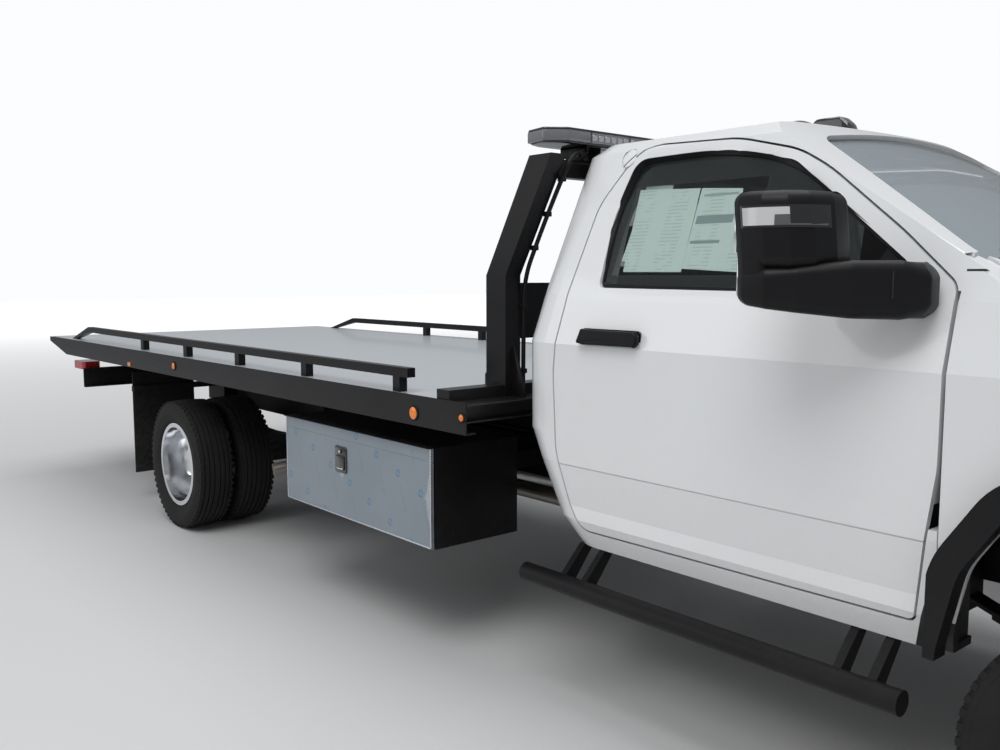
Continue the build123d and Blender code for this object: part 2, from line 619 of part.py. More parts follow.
HUB_RADIUS = 80
for side, word in ((-1, "right"), (1, "left")):
    front_y = side * FRONT_WHEEL_Y
    with BuildPart() as front_tyre:
        spin_ring(tyre_section, FRONT_AXLE_X, front_y)
    save(front_tyre.part, f"front_tyre_{word}")
    with BuildPart() as front_wheel:
        spin_ring(rim_section(side), FRONT_AXLE_X, front_y)
        hub_in = side * (FRONT_WHEEL_Y - 78)
        hub_out = side * (FRONT_WHEEL_Y + DISC_OFFSET + 10)
        bar((FRONT_AXLE_X, hub_in, AXLE_Z), (FRONT_AXLE_X, hub_out, AXLE_Z), HUB_RADIUS)
        disc_end = side * (FRONT_WHEEL_Y - 60)
        bar((FRONT_AXLE_X, hub_in, AXLE_Z), (FRONT_AXLE_X, disc_end, AXLE_Z), 185)
        bore_end = side * (FRONT_WHEEL_Y + 60)
        bar(
            (FRONT_AXLE_X, hub_in - side, AXLE_Z),
            (FRONT_AXLE_X, bore_end, AXLE_Z),
            35 + RUNNING_FIT,
            Mode.SUBTRACT,
        )
    save(front_wheel.part, f"front_wheel_{word}")

    # Knuckle: kingpin between the axle's yoke plates, and the spindle in the hub
    KINGPIN_Y = 800
    with BuildPart() as knuckle:
        block(
            FRONT_AXLE_X - 45,
            FRONT_AXLE_X + 45,
            min(side * 765, side * 835),
            max(side * 765, side * 835),
            AXLE_Z - 64,
            AXLE_Z + 64,
        )
        bar((FRONT_AXLE_X, side * 825, AXLE_Z), (FRONT_AXLE_X, side * 840, AXLE_Z), 60)
        bar((FRONT_AXLE_X, side * 830, AXLE_Z), (FRONT_AXLE_X, side * 990, AXLE_Z), 35)
        bar(
            (FRONT_AXLE_X, side * KINGPIN_Y, AXLE_Z - 96),
            (FRONT_AXLE_X, side * KINGPIN_Y, AXLE_Z + 96),
            18,
        )
    save(knuckle.part, f"knuckle_{word}")

    outer_y = side * (REAR_HUB_Y + DISC_OFFSET)
    inner_y = side * (REAR_HUB_Y - DISC_OFFSET)
    with BuildPart() as rear_tyres:
        spin_ring(tyre_section, REAR_AXLE_X, outer_y)
        spin_ring(tyre_section, REAR_AXLE_X, inner_y)
    save(rear_tyres.part, f"rear_tyres_{word}")
    with BuildPart() as rear_wheels:
        spin_ring(rim_section(-side), REAR_AXLE_X, outer_y)
        spin_ring(rim_section(side), REAR_AXLE_X, inner_y)
        hub_in = side * (REAR_HUB_Y - 260)
        hub_out = side * (REAR_HUB_Y + 150)
        bar((REAR_AXLE_X, hub_in, AXLE_Z), (REAR_AXLE_X, hub_out, AXLE_Z), HUB_RADIUS)
        drum_end = side * (REAR_HUB_Y - 150)
        bar((REAR_AXLE_X, hub_in, AXLE_Z), (REAR_AXLE_X, drum_end, AXLE_Z), 195)
        bar(
            (REAR_AXLE_X, hub_in - side, AXLE_Z),
            (REAR_AXLE_X, side * (REAR_HUB_Y + 20), AXLE_Z),
            45 + RUNNING_FIT,
            Mode.SUBTRACT,
        )
    save(rear_wheels.part, f"rear_wheels_{word}")

# Front axle: dropped beam with yoke plates that hold the kingpins
with BuildPart() as front_axle:
    bar((FRONT_AXLE_X, -730, AXLE_Z), (FRONT_AXLE_X, 730, AXLE_Z), 48)
    for side in SIDES:
        low_y = min(side * 696, side * 736)
        high_y = max(side * 696, side * 736)
        block(FRONT_AXLE_X - 45, FRONT_AXLE_X + 45, low_y, high_y, AXLE_Z - 92, AXLE_Z + 92)
        for level in SIDES:
            low_z = min(AXLE_Z + level * 68, AXLE_Z + level * 92)
            high_z = max(AXLE_Z + level * 68, AXLE_Z + level * 92)
            low_y = min(side * 720, side * 835)
            high_y = max(side * 720, side * 835)
            block(FRONT_AXLE_X - 38, FRONT_AXLE_X + 38, low_y, high_y, low_z, high_z)
        start = (FRONT_AXLE_X, side * KINGPIN_Y, AXLE_Z - 100)
        end = (FRONT_AXLE_X, side * KINGPIN_Y, AXLE_Z + 100)
        bar(start, end, 18 + RUNNING_FIT, Mode.SUBTRACT)
        seat_low = min(side * 455, side * 545)
        seat_high = max(side * 455, side * 545)
        block(FRONT_AXLE_X - 60, FRONT_AXLE_X + 60, seat_low, seat_high, AXLE_Z + 20, AXLE_Z + 60)
save(front_axle.part, "front_axle")

# Rear axle: tube, round gear housing and the two spindles
with BuildPart() as rear_axle:
    bar((REAR_AXLE_X, -640, AXLE_Z), (REAR_AXLE_X, 640, AXLE_Z), 60)
    with Locations((REAR_AXLE_X, 0, AXLE_Z + 10)):
        Sphere(175)
    bar((REAR_AXLE_X + 100, 0, AXLE_Z + 15), (REAR_AXLE_X + 250, 0, AXLE_Z + 25), 70)
    for side in SIDES:
        bar((REAR_AXLE_X, side * 630, AXLE_Z), (REAR_AXLE_X, side * 950, AXLE_Z), 45)
        seat_low = min(side * 455, side * 545)
        seat_high = max(side * 455, side * 545)
        block(REAR_AXLE_X - 60, REAR_AXLE_X + 60, seat_low, seat_high, AXLE_Z + 20, AXLE_Z + 70)
save(rear_axle.part, "rear_axle")

# Leaf springs on the axle seats
# Axle X, seat height over the axle, longest half length, number of leaves, leaf thickness, rise
springs = [
    (REAR_AXLE_X, 70, 720, 5, 14, 125),
    (FRONT_AXLE_X, 60, 620, 3, 13, 130),
]
with BuildPart() as leaf_springs:
    for axle_x, seat, half, count, thick, rise in springs:
        for number in range(count):
            reach = half * (1 - 0.16 * number)
            lift = rise * (reach / half) ** 2
            low = AXLE_Z + seat + (count - 1 - number) * thick
            with BuildSketch(Plane.XZ.offset(-538)) as leaf:
                with BuildLine():
                    ThreePointArc(
                        (axle_x - reach, low + lift),
                        (axle_x, low),
                        (axle_x + reach, low + lift),
                    )
                    Line((axle_x + reach, low + lift), (axle_x + reach, low + lift + thick))
                    ThreePointArc(
                        (axle_x + reach, low + lift + thick),
                        (axle_x, low + thick),
                        (axle_x - reach, low + lift + thick),
                    )
                    Line((axle_x - reach, low + lift + thick), (axle_x - reach, low + lift))
                make_face()
            extrude(leaf.sketch, amount=76)
        top = AXLE_Z + seat + count * thick + rise
        for end in SIDES:
            eye_x = axle_x + end * (half - 6)
            block(eye_x - 22, eye_x + 22, FRAME_HALF, 530, top - 60, FRAME_TOP_Z - 40)
    both_sides()
save(leaf_springs.part, "leaf_springs")

# Engine, gearbox and driveshaft as one plain driveline
with BuildPart() as driveline:
    block(3020, 3880, -310, 310, 720, 1280)
    block(2320, 3030, -170, 170, 500, 835)
    bar((2330, 0, 575), (REAR_AXLE_X + 255, 0, AXLE_Z + 25), 48)
    block(3960, 4020, -400, 400, 845, 1300)
    block(3870, 3965, -90, 90, 860, 1040)
save(driveline.part, "driveline")

# Fuel tank under the cab floor on the left
with BuildPart() as fuel_tank:
    section_slab(
        [(FRAME_HALF + 30, 450), (860, 450), (860, 780), (FRAME_HALF + 30, 780)],
        1330,
        2380,
        50,
    )
save(fuel_tank.part, "fuel_tank")

# Exhaust: down pipe, silencer and tail pipe turned out ahead of the rear wheels
with BuildPart() as exhaust:
    with BuildLine() as run:
        FilletPolyline(
            (2640, -505, 600),
            (-560, -505, 590),
            (-760, -640, 560),
            (-860, -1000, 500),
            radius=90,
        )
    with BuildSketch(Plane(origin=(2640, -505, 600), z_dir=(-1, 0, 0))) as pipe:
        Circle(38)
    sweep(pipe.sketch, path=run.line)
    bar((2200, -560, 597), (1450, -560, 595), 100)
save(exhaust.part, "exhaust")

# Cab form: rounded plan sections stacked up the cab, kept under the roof line
# Cab levels: Z, half width, how far the back wall stands forward of the widest back
cab_levels = [
    (ROCKER_Z, 950, 225),
    (690, 985, 150),
    (900, CAB_HALF, 60),
    (1010, CAB_HALF, 6),
    (1340, CAB_HALF, 2),
    (1522, 962, 28),
    (2045, 745, 58),
    (2140, 600, 110),
]
CAB_CORNER = 170
CAB_FRONT_X = 2862
COWL_Z = 1600
COWL_X = 3100
# Cab side outline with the roof line: X, Z, corner radius, which way an inset moves X and Z
cab_side = [
    (CAB_BACK_X - 40, ROCKER_Z - 1, 0, 0, 1),
    (CAB_FRONT_X, ROCKER_Z - 1, 0, -1, 1),
    (CAB_FRONT_X, COWL_Z, 0, -1, 1),
    (COWL_X, COWL_Z, 0, -1, 1),
    (COWL_X, 2080, 0, -1, -1),
    (2300, 2080, 200, -1, -1),
    (1980, 2116, 400, 0, -1),
    (1640, 2125, 300, 0, -1),
    (1400, 2105, 200, 0, -1),
    (CAB_BACK_X + 95, 2050, 40, 0, -1),
    (CAB_BACK_X - 40, 2010, 0, 0, -1),
]
# Roof crown across the cab: Y, Z
roof_crown = [(-660, 2093), (-330, 2117), (0, 2125), (330, 2117), (660, 2093)]

# Windscreen: a gently curved sheet that slopes from the cowl up to the header
SCREEN_FOOT = (3033, 0, 1651)
SCREEN_HEAD = (2230, 0, 2090)
SCREEN_RADIUS = 4200
PILLAR_RISE = 8
SCREEN_INSET = 7
screen_run = hypot(SCREEN_HEAD[0] - SCREEN_FOOT[0], SCREEN_HEAD[2] - SCREEN_FOOT[2])
SCREEN_UP = ((SCREEN_HEAD[0] - SCREEN_FOOT[0]) / screen_run, (SCREEN_HEAD[2] - SCREEN_FOOT[2]) / screen_run)
SCREEN_OUT = (SCREEN_UP[1], -SCREEN_UP[0])


def screen_point(up, out):
    x = SCREEN_FOOT[0] + SCREEN_UP[0] * up + SCREEN_OUT[0] * out
    z = SCREEN_FOOT[2] + SCREEN_UP[1] * up + SCREEN_OUT[1] * out
    return (x, 0, z)


# Everything outside the windscreen's sheet, moved inwards by a depth
def screen_side(depth, mode):
    reach = 1150
    drop = SCREEN_RADIUS - sqrt(SCREEN_RADIUS**2 - reach**2)
    start = Plane(
        origin=screen_point(-500, -depth),
        x_dir=(0, -1, 0),
        z_dir=(SCREEN_UP[0], 0, SCREEN_UP[1]),
    )
    with BuildSketch(start) as outside:
        with BuildLine():
            ThreePointArc((-reach, -drop), (0, 0), (reach, -drop))
            Polyline((reach, -drop), (reach, 1600), (-reach, 1600), (-reach, -drop))
        make_face()
    extrude(outside.sketch, amount=2200, mode=mode)


def cab_form(inset):
    with BuildPart() as form:
        for level, half, back in cab_levels:
            back_x = CAB_BACK_X + back + inset
            side_y = half - inset
            corner = CAB_CORNER - inset
            with BuildSketch(Plane.XY.offset(level)):
                with BuildLine():
                    FilletPolyline(
                        (back_x, -side_y),
                        (COWL_X + 10, -side_y),
                        (COWL_X + 10, side_y),
                        (back_x, side_y),
                        radius=[corner, 0, 0, corner],
                        close=True,
                    )
                make_face()
        loft(ruled=True)
        points = [(x + inset * dx, z + inset * dz) for x, z, radius, dx, dz in cab_side]
        corners = [row[2] for row in cab_side]
        with BuildSketch(Plane.XZ) as roof_line:
            with BuildLine():
                FilletPolyline(*points, radius=corners, close=True)
            make_face()
        extrude(roof_line.sketch, amount=1300, both=True, mode=Mode.INTERSECT)
        with BuildSketch(Plane.YZ.offset(CAB_BACK_X - 100)) as crown:
            with BuildLine():
                Polyline(
                    (1100, 500),
                    (1100, 2020 - inset),
                    *[(y, z - inset) for y, z in reversed(roof_crown)],
                    (-1100, 2020 - inset),
                    (-1100, 500),
                    close=True,
                )
            make_face()
        extrude(crown.sketch, amount=2200, mode=Mode.INTERSECT)
        screen_side(inset - PILLAR_RISE, Mode.SUBTRACT)
    return form.part


cab_outer = cab_form(0)
cab_inner = cab_form(CAB_WALL)
cab_skin = cab_form(DOOR_SKIN)
cab_door_inner = cab_form(DOOR_WALL)
cab_pocket = cab_form(DOOR_WALL + 8)
glass_outer = cab_form(GLASS_INSET)
glass_inner = cab_form(GLASS_INSET + GLASS)

# Door outline seen from the side: X, Z, corner radius
door_outline = [
    (1545, 656, 60),
    (2796, 668, 20),
    (2853, 1091, 400),
    (2854, 1562, 60),
    (2673, 1710, 1200),
    (2393, 1913, 800),
    (2271, 1979, 400),
    (2030, 2040, 500),
    (1610, 2060, 150),
    (1478, 1850, 200),
    (1450, 1520, 300),
    (1424, 1230, 300),
    (1440, 950, 150),
    (1500, 745, 60),
]
# Side window outline: X, Z, corner radius
window_outline = [
    (1592, 1546, 25),
    (2780, 1536, 20),
    (2700, 1632, 30),
    (2270, 1948, 120),
    (2000, 2008, 300),
    (1620, 2003, 50),
    (1568, 1800, 200),
]


def outline_slab(table, grow, y_low, y_high, mode):
    with BuildSketch(Plane.XZ.offset(-y_high)) as profile:
        with BuildLine():
            FilletPolyline(
                *[(x, z) for x, z, radius in table],
                radius=[radius for x, z, radius in table],
                close=True,
            )
        make_face()
        if grow:
            offset(amount=grow, kind=Kind.INTERSECTION)
    extrude(profile.sketch, amount=y_high - y_low, mode=mode)


def screen_opening(half_foot, half_head, foot, head, corner, mode):
    face = Plane(
        origin=screen_point(0, -180),
        x_dir=(0, 1, 0),
        z_dir=(SCREEN_OUT[0], 0, SCREEN_OUT[1]),
    )
    with BuildSketch(face) as opening:
        with BuildLine():
            FilletPolyline(
                (-half_foot, foot),
                (half_foot, foot),
                (half_head, head),
                (-half_head, head),
                radius=corner,
                close=True,
            )
        make_face()
    extrude(opening.sketch, amount=480, mode=mode)


# Windscreen opening: half width at the foot and at the head, foot and head up the sheet, corner radius
SCREEN_SIZE = (888, 614, 72, 872, 80)
REAR_WINDOW = [(-560, 1560), (560, 1560), (520, 1930), (-520, 1930)]
# Fender shoulder at the foot of the windscreen pillar: it runs up to the glass and back to the door
# Shoulder seen from the side: X, Z
shoulder_side = [
    (2780, 1607),
    (2806, 1620),
    (2878, 1656),
    (2960, 1720),
    (3075, 1720),
    (3075, 1500),
    (2866, 1500),
    (2866, 1550),
    (2780, 1550),
]
# Cab side where the shoulder lies: Y, Z
shoulder_face = [(-972, 1480), (-962, 1522), (-900, 1671), (-880, 1719)]


def shoulder_form(grow, skin):
    with BuildPart() as form:
        inner = [(y + skin, z) for y, z in reversed(shoulder_face)]
        section_slab(shoulder_face + inner, 2770, 3080)
        section_slab([*shoulder_face, (-853 + grow, 1719), (-853 + grow, 1480)], 2866 - grow, 3080)
        with BuildSketch(Plane.XZ) as zone:
            with BuildLine():
                Polyline(*shoulder_side, close=True)
            make_face()
            if grow:
                offset(amount=grow, kind=Kind.INTERSECTION)
        extrude(zone.sketch, amount=1300, mode=Mode.INTERSECT)
        if not grow:
            screen_side(0, Mode.SUBTRACT)
            half_foot, half_head, foot, head, corner = SCREEN_SIZE
            screen_opening(half_foot + 5, half_head + 5, foot - 5, head, corner, Mode.SUBTRACT)
            outline_slab(door_outline, DOOR_GAP, -1200, -500, Mode.SUBTRACT)
    return form.part


with BuildPart() as door_pocket:
    add(cab_outer)
    outline_slab(door_outline, DOOR_GAP, 500, 1200, Mode.INTERSECT)
    add(cab_pocket, mode=Mode.SUBTRACT)
    block(2240 + DOOR_GAP, CAB_FRONT_X, 400, 664 - DOOR_GAP, 1400, 2100, Mode.SUBTRACT)
    block(2836, CAB_FRONT_X + 4, 915, 1100, 930, 1560)
    bar((1555, 700, 2021), (1555, 800, 2021), 34)
with BuildPart() as cab_floor:
    block(CAB_BACK_X + 60, CAB_FRONT_X - 30, -958, 958, 640, FLOOR_Z)
    add(cab_outer, mode=Mode.INTERSECT)
with BuildPart() as cab_shell:
    add(cab_outer)
    add(cab_inner, mode=Mode.SUBTRACT)
    add(cab_floor.part)
    block(CAB_BACK_X - 10, CAB_FRONT_X + 10, -880, 880, ROCKER_Z - 20, FLOOR_Z - 40, Mode.SUBTRACT)
    add(door_pocket.part, mode=Mode.SUBTRACT)
    add(mirror(door_pocket.part, about=Plane.XZ, mode=Mode.PRIVATE), mode=Mode.SUBTRACT)
    screen_opening(*SCREEN_SIZE, Mode.SUBTRACT)
    section_slab(REAR_WINDOW, CAB_BACK_X - 50, CAB_BACK_X + 300, 60, Mode.SUBTRACT)
    cowl_panel = [
        (CAB_FRONT_X - CAB_WALL, 1480),
        (CAB_FRONT_X, 1480),
        (CAB_FRONT_X, COWL_Z - 26),
        (COWL_X - 5, COWL_Z - 26),
        (COWL_X - 5, COWL_Z + 4),
        (CAB_FRONT_X - CAB_WALL, COWL_Z + 4),
    ]
    side_slab(cowl_panel, -832, 832)
    add(shoulder_form(3, 34), mode=Mode.SUBTRACT)
    add(mirror(shoulder_form(3, 34), about=Plane.XZ, mode=Mode.PRIVATE), mode=Mode.SUBTRACT)
save(cab_shell.part, "cab_shell")

with BuildPart() as screen_glass:
    screen_opening(*SCREEN_SIZE, Mode.ADD)
    screen_side(SCREEN_INSET, Mode.SUBTRACT)
    screen_side(SCREEN_INSET + GLASS, Mode.INTERSECT)
    block(2500, COWL_X, -1000, 1000, 1400, COWL_Z + 10, Mode.SUBTRACT)
with BuildPart() as rear_glass:
    add(glass_outer)
    add(glass_inner, mode=Mode.SUBTRACT)
    section_slab(REAR_WINDOW, CAB_BACK_X - 50, CAB_BACK_X + 300, 60, Mode.INTERSECT)
with BuildPart() as cab_glass:
    add(screen_glass.part)
    add(rear_glass.part)
save(cab_glass.part, "cab_glass")

# Doors: an outer skin over a thicker inner frame, with the window cut through both
with BuildPart() as right_door:
    add(cab_outer)
    outline_slab(door_outline, 0, -1200, -500, Mode.INTERSECT)
    add(cab_skin, mode=Mode.SUBTRACT)
with BuildPart() as right_door_frame:
    add(cab_skin)
    outline_slab(door_outline, -35, -1200, -500, Mode.INTERSECT)
    add(cab_door_inner, mode=Mode.SUBTRACT)
    screen_side(60, Mode.SUBTRACT)
with BuildPart() as door_glass:
    add(glass_outer)
    outline_slab(window_outline, 0, -1200, -500, Mode.INTERSECT)
    add(glass_inner, mode=Mode.SUBTRACT)
with BuildPart() as door_right:
    add(right_door.part)
    add(right_door_frame.part)
    outline_slab(window_outline, 0, -1200, -500, Mode.SUBTRACT)
    block(2700, CAB_FRONT_X, -905, -400, 600, 1500, Mode.SUBTRACT)
    block(2700, CAB_FRONT_X, -840, -400, 1400, 1720, Mode.SUBTRACT)
    block(2240, CAB_FRONT_X, -664, -400, 1400, 2100, Mode.SUBTRACT)
save(door_right.part, "door_right")
save(door_glass.part, "door_glass_right")
with BuildPart() as door_left:
    add(mirror(door_right.part, about=Plane.XZ, mode=Mode.PRIVATE))
save(door_left.part, "door_left")
with BuildPart() as left_glass:
    add(mirror(door_glass.part, about=Plane.XZ, mode=Mode.PRIVATE))
save(left_glass.part, "door_glass_left")

# Door fittings: the long-armed mirror and the pull handle, which stand on the door skin
MIRROR_OUT = 1330
MIRROR_IN = 1090
MIRROR_LOW_Z = 1519
MIRROR_HIGH_Z = 1802
MIRROR_REAR_X = 2440
MIRROR_DEPTH = 200
HANDLE_Z = 1372
with BuildPart() as mirror_head:
    plan_slab(
        [
            (MIRROR_REAR_X, -MIRROR_IN),
            (MIRROR_REAR_X, -MIRROR_OUT),
            (MIRROR_REAR_X + MIRROR_DEPTH * 0.7, -MIRROR_OUT),
            (MIRROR_REAR_X + MIRROR_DEPTH, -MIRROR_OUT + 70),
            (MIRROR_REAR_X + MIRROR_DEPTH, -MIRROR_IN),
        ],
        MIRROR_LOW_Z,
        MIRROR_HIGH_Z,
        28,
    )
    fillet(mirror_head.faces().sort_by(Axis.Z)[-1].edges(), 26)
    fillet(mirror_head.faces().sort_by(Axis.Z)[0].edges(), 26)
with BuildPart() as fittings_right:
    add(mirror_head.part)
    plan_slab(
        [(2520, -1110), (2600, -1110), (2846, -1035), (2846, -900), (2790, -900), (2770, -1010)],
        1500,
        1590,
        10,
    )
    block(1554, 1842, -1046, -990, HANDLE_Z - 28, HANDLE_Z + 28)
    add(cab_outer, mode=Mode.SUBTRACT)
save(fittings_right.part, "door_fittings_right")
with BuildPart() as fittings_left:
    add(mirror(fittings_right.part, about=Plane.XZ, mode=Mode.PRIVATE))
save(fittings_left.part, "door_fittings_left")

# Front end form: side outline, plan outline and cross section kept where all three agree
# Front end side outline: X, Z, corner radius, which way an inset moves X and Z
NOSE_FACE_X = NOSE_X - 80
nose_side = [
    (CAB_FRONT_X + 3, 600, 0, 1, 1),
    (CAB_FRONT_X + 3, 1592, 0, 1, -1),
    (3110, 1588, 0, 0, -1),
    (4100, 1490, 150, 0, -1),
    (NOSE_FACE_X - 20, 1400, 60, -1, -1),
    (NOSE_FACE_X, 1000, 200, -1, 0),
    (NOSE_FACE_X - 20, 600, 0, -1, 1),
]
# Front end half section: Y, Z, and which way an inset moves Z
nose_half_section = [
    (955, 600, 1),
    (985, 690, 0),
    (CAB_HALF, 900, 0),
    (CAB_HALF, 1340, 0),
    (962, 1522, -1),
    (925, 1570, -1),
    (860, 1590, -1),
    (600, 1602, -1),
    (0, 1610, -1),
]


def nose_form(inset):
    section = [(y - inset if y else 0, z + dz * inset) for y, z, dz in nose_half_section]
    section += [(-y, z) for y, z in reversed(section[:-1])]
    side_y = CAB_HALF - inset
    face_x = NOSE_FACE_X - inset
    with BuildPart() as form:
        points = [(x + inset * dx, z + inset * dz) for x, z, radius, dx, dz in nose_side]
        with BuildSketch(Plane.XZ) as side_profile:
            with BuildLine():
                FilletPolyline(*points, radius=[row[2] for row in nose_side], close=True)
            make_face()
        extrude(side_profile.sketch, amount=1300, both=True)
        with BuildSketch(Plane.YZ.offset(CAB_FRONT_X)) as cross:
            with BuildLine():
                Polyline(*section, close=True)
            make_face()
        extrude(cross.sketch, amount=2000, mode=Mode.INTERSECT)
        with BuildSketch(Plane.XY.offset(500)) as plan:
            with BuildLine():
                FilletPolyline(
                    (CAB_FRONT_X, -side_y),
                    (3850, -side_y),
                    (face_x - 90, -side_y + 70),
                    (face_x, -side_y + 330),
                    (face_x, side_y - 330),
                    (face_x - 90, side_y - 70),
                    (3850, side_y),
                    (CAB_FRONT_X, side_y),
                    radius=[0, 400, 120, 200, 200, 120, 400, 0],
                    close=True,
                )
            make_face()
        extrude(plan.sketch, amount=1300, mode=Mode.INTERSECT)
    return form.part


PANEL = 22
nose_outer = nose_form(0)
nose_inner = nose_form(PANEL)
HOOD_HALF = 850
PANEL_GAP = 6
HOOD_REAR_X = 3112
HOOD_LOW_Z = 1402
FASCIA_X = 4060

# Wheel arch outline round the front axle: X from the axle, Z, corner radius
arch_outline = [
    (-452, 500, 0),
    (-446, 640, 100),
    (-400, 850, 200),
    (-262, 1060, 150),
    (262, 1060, 150),
    (400, 850, 200),
    (446, 640, 100),
    (452, 500, 0),
]
FLARE_BAND = 72


def arch_slab(grow, y_low, y_high, mode):
    table = [(FRONT_AXLE_X + x, z, radius) for x, z, radius in arch_outline]
    with BuildSketch(Plane.XZ.offset(-y_high)) as profile:
        with BuildLine():
            FilletPolyline(
                *[(x, z) for x, z, radius in table],
                radius=[radius for x, z, radius in table],
                close=True,
            )
        make_face()
        if grow:
            offset(amount=grow, kind=Kind.INTERSECTION)
    extrude(profile.sketch, amount=y_high - y_low, mode=mode)


with BuildPart() as right_fender:
    add(nose_outer)
    add(nose_inner, mode=Mode.SUBTRACT)
    block(CAB_FRONT_X, FASCIA_X - 3, -1100, -HOOD_HALF - PANEL_GAP / 2, 600, 1700, Mode.INTERSECT)
    arch_slab(0, -1200, -800, Mode.SUBTRACT)
    add(shoulder_form(0, 26))
with BuildPart() as front_fenders:
    add(right_fender.part)
    block(CAB_FRONT_X + 20, FASCIA_X - 3, -CAB_HALF + 30, -560, 1240, 1262)
    block(CAB_FRONT_X + 20, FASCIA_X - 3, -582, -560, 840, 1245)
    block(CAB_FRONT_X + 20, FASCIA_X - 3, -CAB_HALF + 12, -CAB_HALF + 40, 1235, 1265)
    both_sides()
save(front_fenders.part, "front_fenders")

with BuildPart() as fender_flares:
    arch_slab(FLARE_BAND, -1072, -CAB_HALF, Mode.ADD)
    arch_slab(0, -1200, -900, Mode.SUBTRACT)
    block(CAB_FRONT_X + 4, FASCIA_X - 4, -1100, -900, 610, 1300, Mode.INTERSECT)
    both_sides()
save(fender_flares.part, "fender_flares")

with BuildPart() as hood:
    add(nose_outer)
    add(nose_inner, mode=Mode.SUBTRACT)
    block(HOOD_REAR_X, NOSE_X, -HOOD_HALF + PANEL_GAP / 2, HOOD_HALF - PANEL_GAP / 2, HOOD_LOW_Z, 1700, Mode.INTERSECT)
save(hood.part, "hood")

# Front fascia with the grille opening, the grille bars and the lamps
GRILLE_HALF = 560
GRILLE_LOW_Z = 880
GRILLE_HIGH_Z = 1350
LAMP_LOW_Z = 1130
LAMP_HIGH_Z = 1330
with BuildPart() as fascia:
    add(nose_outer)
    add(nose_form(60), mode=Mode.SUBTRACT)
    block(FASCIA_X + 3, NOSE_X, -1100, 1100, 700, HOOD_LOW_Z - PANEL_GAP, Mode.INTERSECT)
    block(FASCIA_X, NOSE_X, -GRILLE_HALF, GRILLE_HALF, GRILLE_LOW_Z, GRILLE_HIGH_Z, Mode.SUBTRACT)
    for side in SIDES:
        low_y = min(side * 610, side * 1100)
        high_y = max(side * 610, side * 1100)
        block(FASCIA_X + 60, NOSE_X, low_y, high_y, LAMP_LOW_Z, LAMP_HIGH_Z, Mode.SUBTRACT)
save(fascia.part, "front_fascia")

with BuildPart() as headlamps:
    add(nose_form(4))
    add(nose_form(56), mode=Mode.SUBTRACT)
    block(FASCIA_X + 60, NOSE_X, 610, 1100, LAMP_LOW_Z, LAMP_HIGH_Z, Mode.INTERSECT)
    both_sides()
save(headlamps.part, "headlamps")

GRILLE_BARS = 4
with BuildPart() as grille:
    face_x = NOSE_FACE_X - 46
    rim = 46
    block(face_x, NOSE_FACE_X - 4, -GRILLE_HALF, GRILLE_HALF, GRILLE_LOW_Z, GRILLE_HIGH_Z)
    block(
        face_x - 1,
        NOSE_FACE_X,
        -GRILLE_HALF + rim,
        GRILLE_HALF - rim,
        GRILLE_LOW_Z + rim,
        GRILLE_HIGH_Z - rim,
        Mode.SUBTRACT,
    )
    span = GRILLE_HIGH_Z - GRILLE_LOW_Z - 2 * rim
    for number in range(GRILLE_BARS):
        middle_z = GRILLE_LOW_Z + rim + span * (number + 1) / (GRILLE_BARS + 1)
        block(face_x + 4, NOSE_FACE_X - 14, -GRILLE_HALF, GRILLE_HALF, middle_z - 16, middle_z + 16)
    for number in range(-1, 2):
        middle_y = number * 260
        block(face_x, face_x + 16, middle_y - 9, middle_y + 9, GRILLE_LOW_Z + 10, GRILLE_HIGH_Z - 10)
save(grille.part, "grille")

TOW_EYE_X = NOSE_X - 60
TOW_EYE_Y = 385
TOW_EYE_Z = 430
TOW_EYE_RADIUS = 16
with BuildPart() as front_bumper:
    plan_slab(
        [
            (NOSE_X - 262, -1000),
            (NOSE_X - 120, -990),
            (NOSE_X, -760),
            (NOSE_X, 760),
            (NOSE_X - 120, 990),
            (NOSE_X - 262, 1000),
            (NOSE_X - 262, 940),
            (NOSE_X - 150, 930),
            (NOSE_X - 60, 740),
            (NOSE_X - 60, -740),
            (NOSE_X - 150, -930),
            (NOSE_X - 262, -940),
        ],
        470,
        692,
        20,
    )
    for side in SIDES:
        low_y = min(side * 340, side * 430)
        high_y = max(side * 340, side * 430)
        block(FRAME_FRONT_X, NOSE_X - 50, low_y, high_y, 660, 690)
        eye_low = min(side * (TOW_EYE_Y - 11), side * (TOW_EYE_Y + 11))
        eye_high = max(side * (TOW_EYE_Y - 11), side * (TOW_EYE_Y + 11))
        bar((TOW_EYE_X, eye_low, TOW_EYE_Z), (TOW_EYE_X, eye_high, TOW_EYE_Z), 34)
        block(TOW_EYE_X - 34, TOW_EYE_X + 34, eye_low, eye_high, TOW_EYE_Z, 500)
        bar((TOW_EYE_X, eye_low, TOW_EYE_Z), (TOW_EYE_X, eye_high, TOW_EYE_Z), TOW_EYE_RADIUS, Mode.SUBTRACT)
save(front_bumper.part, "front_bumper")

# Inside the cab: dashboard, steering wheel on its column, bench seat
DASH_HALF = 826
with BuildPart() as dashboard:
    side_slab(
        [(2520, 1290), (2560, 1200), (2760, 1180), (2790, 1560), (2640, 1575), (2530, 1500)],
        -DASH_HALF,
        DASH_HALF,
        25,
    )
save(dashboard.part, "dashboard")

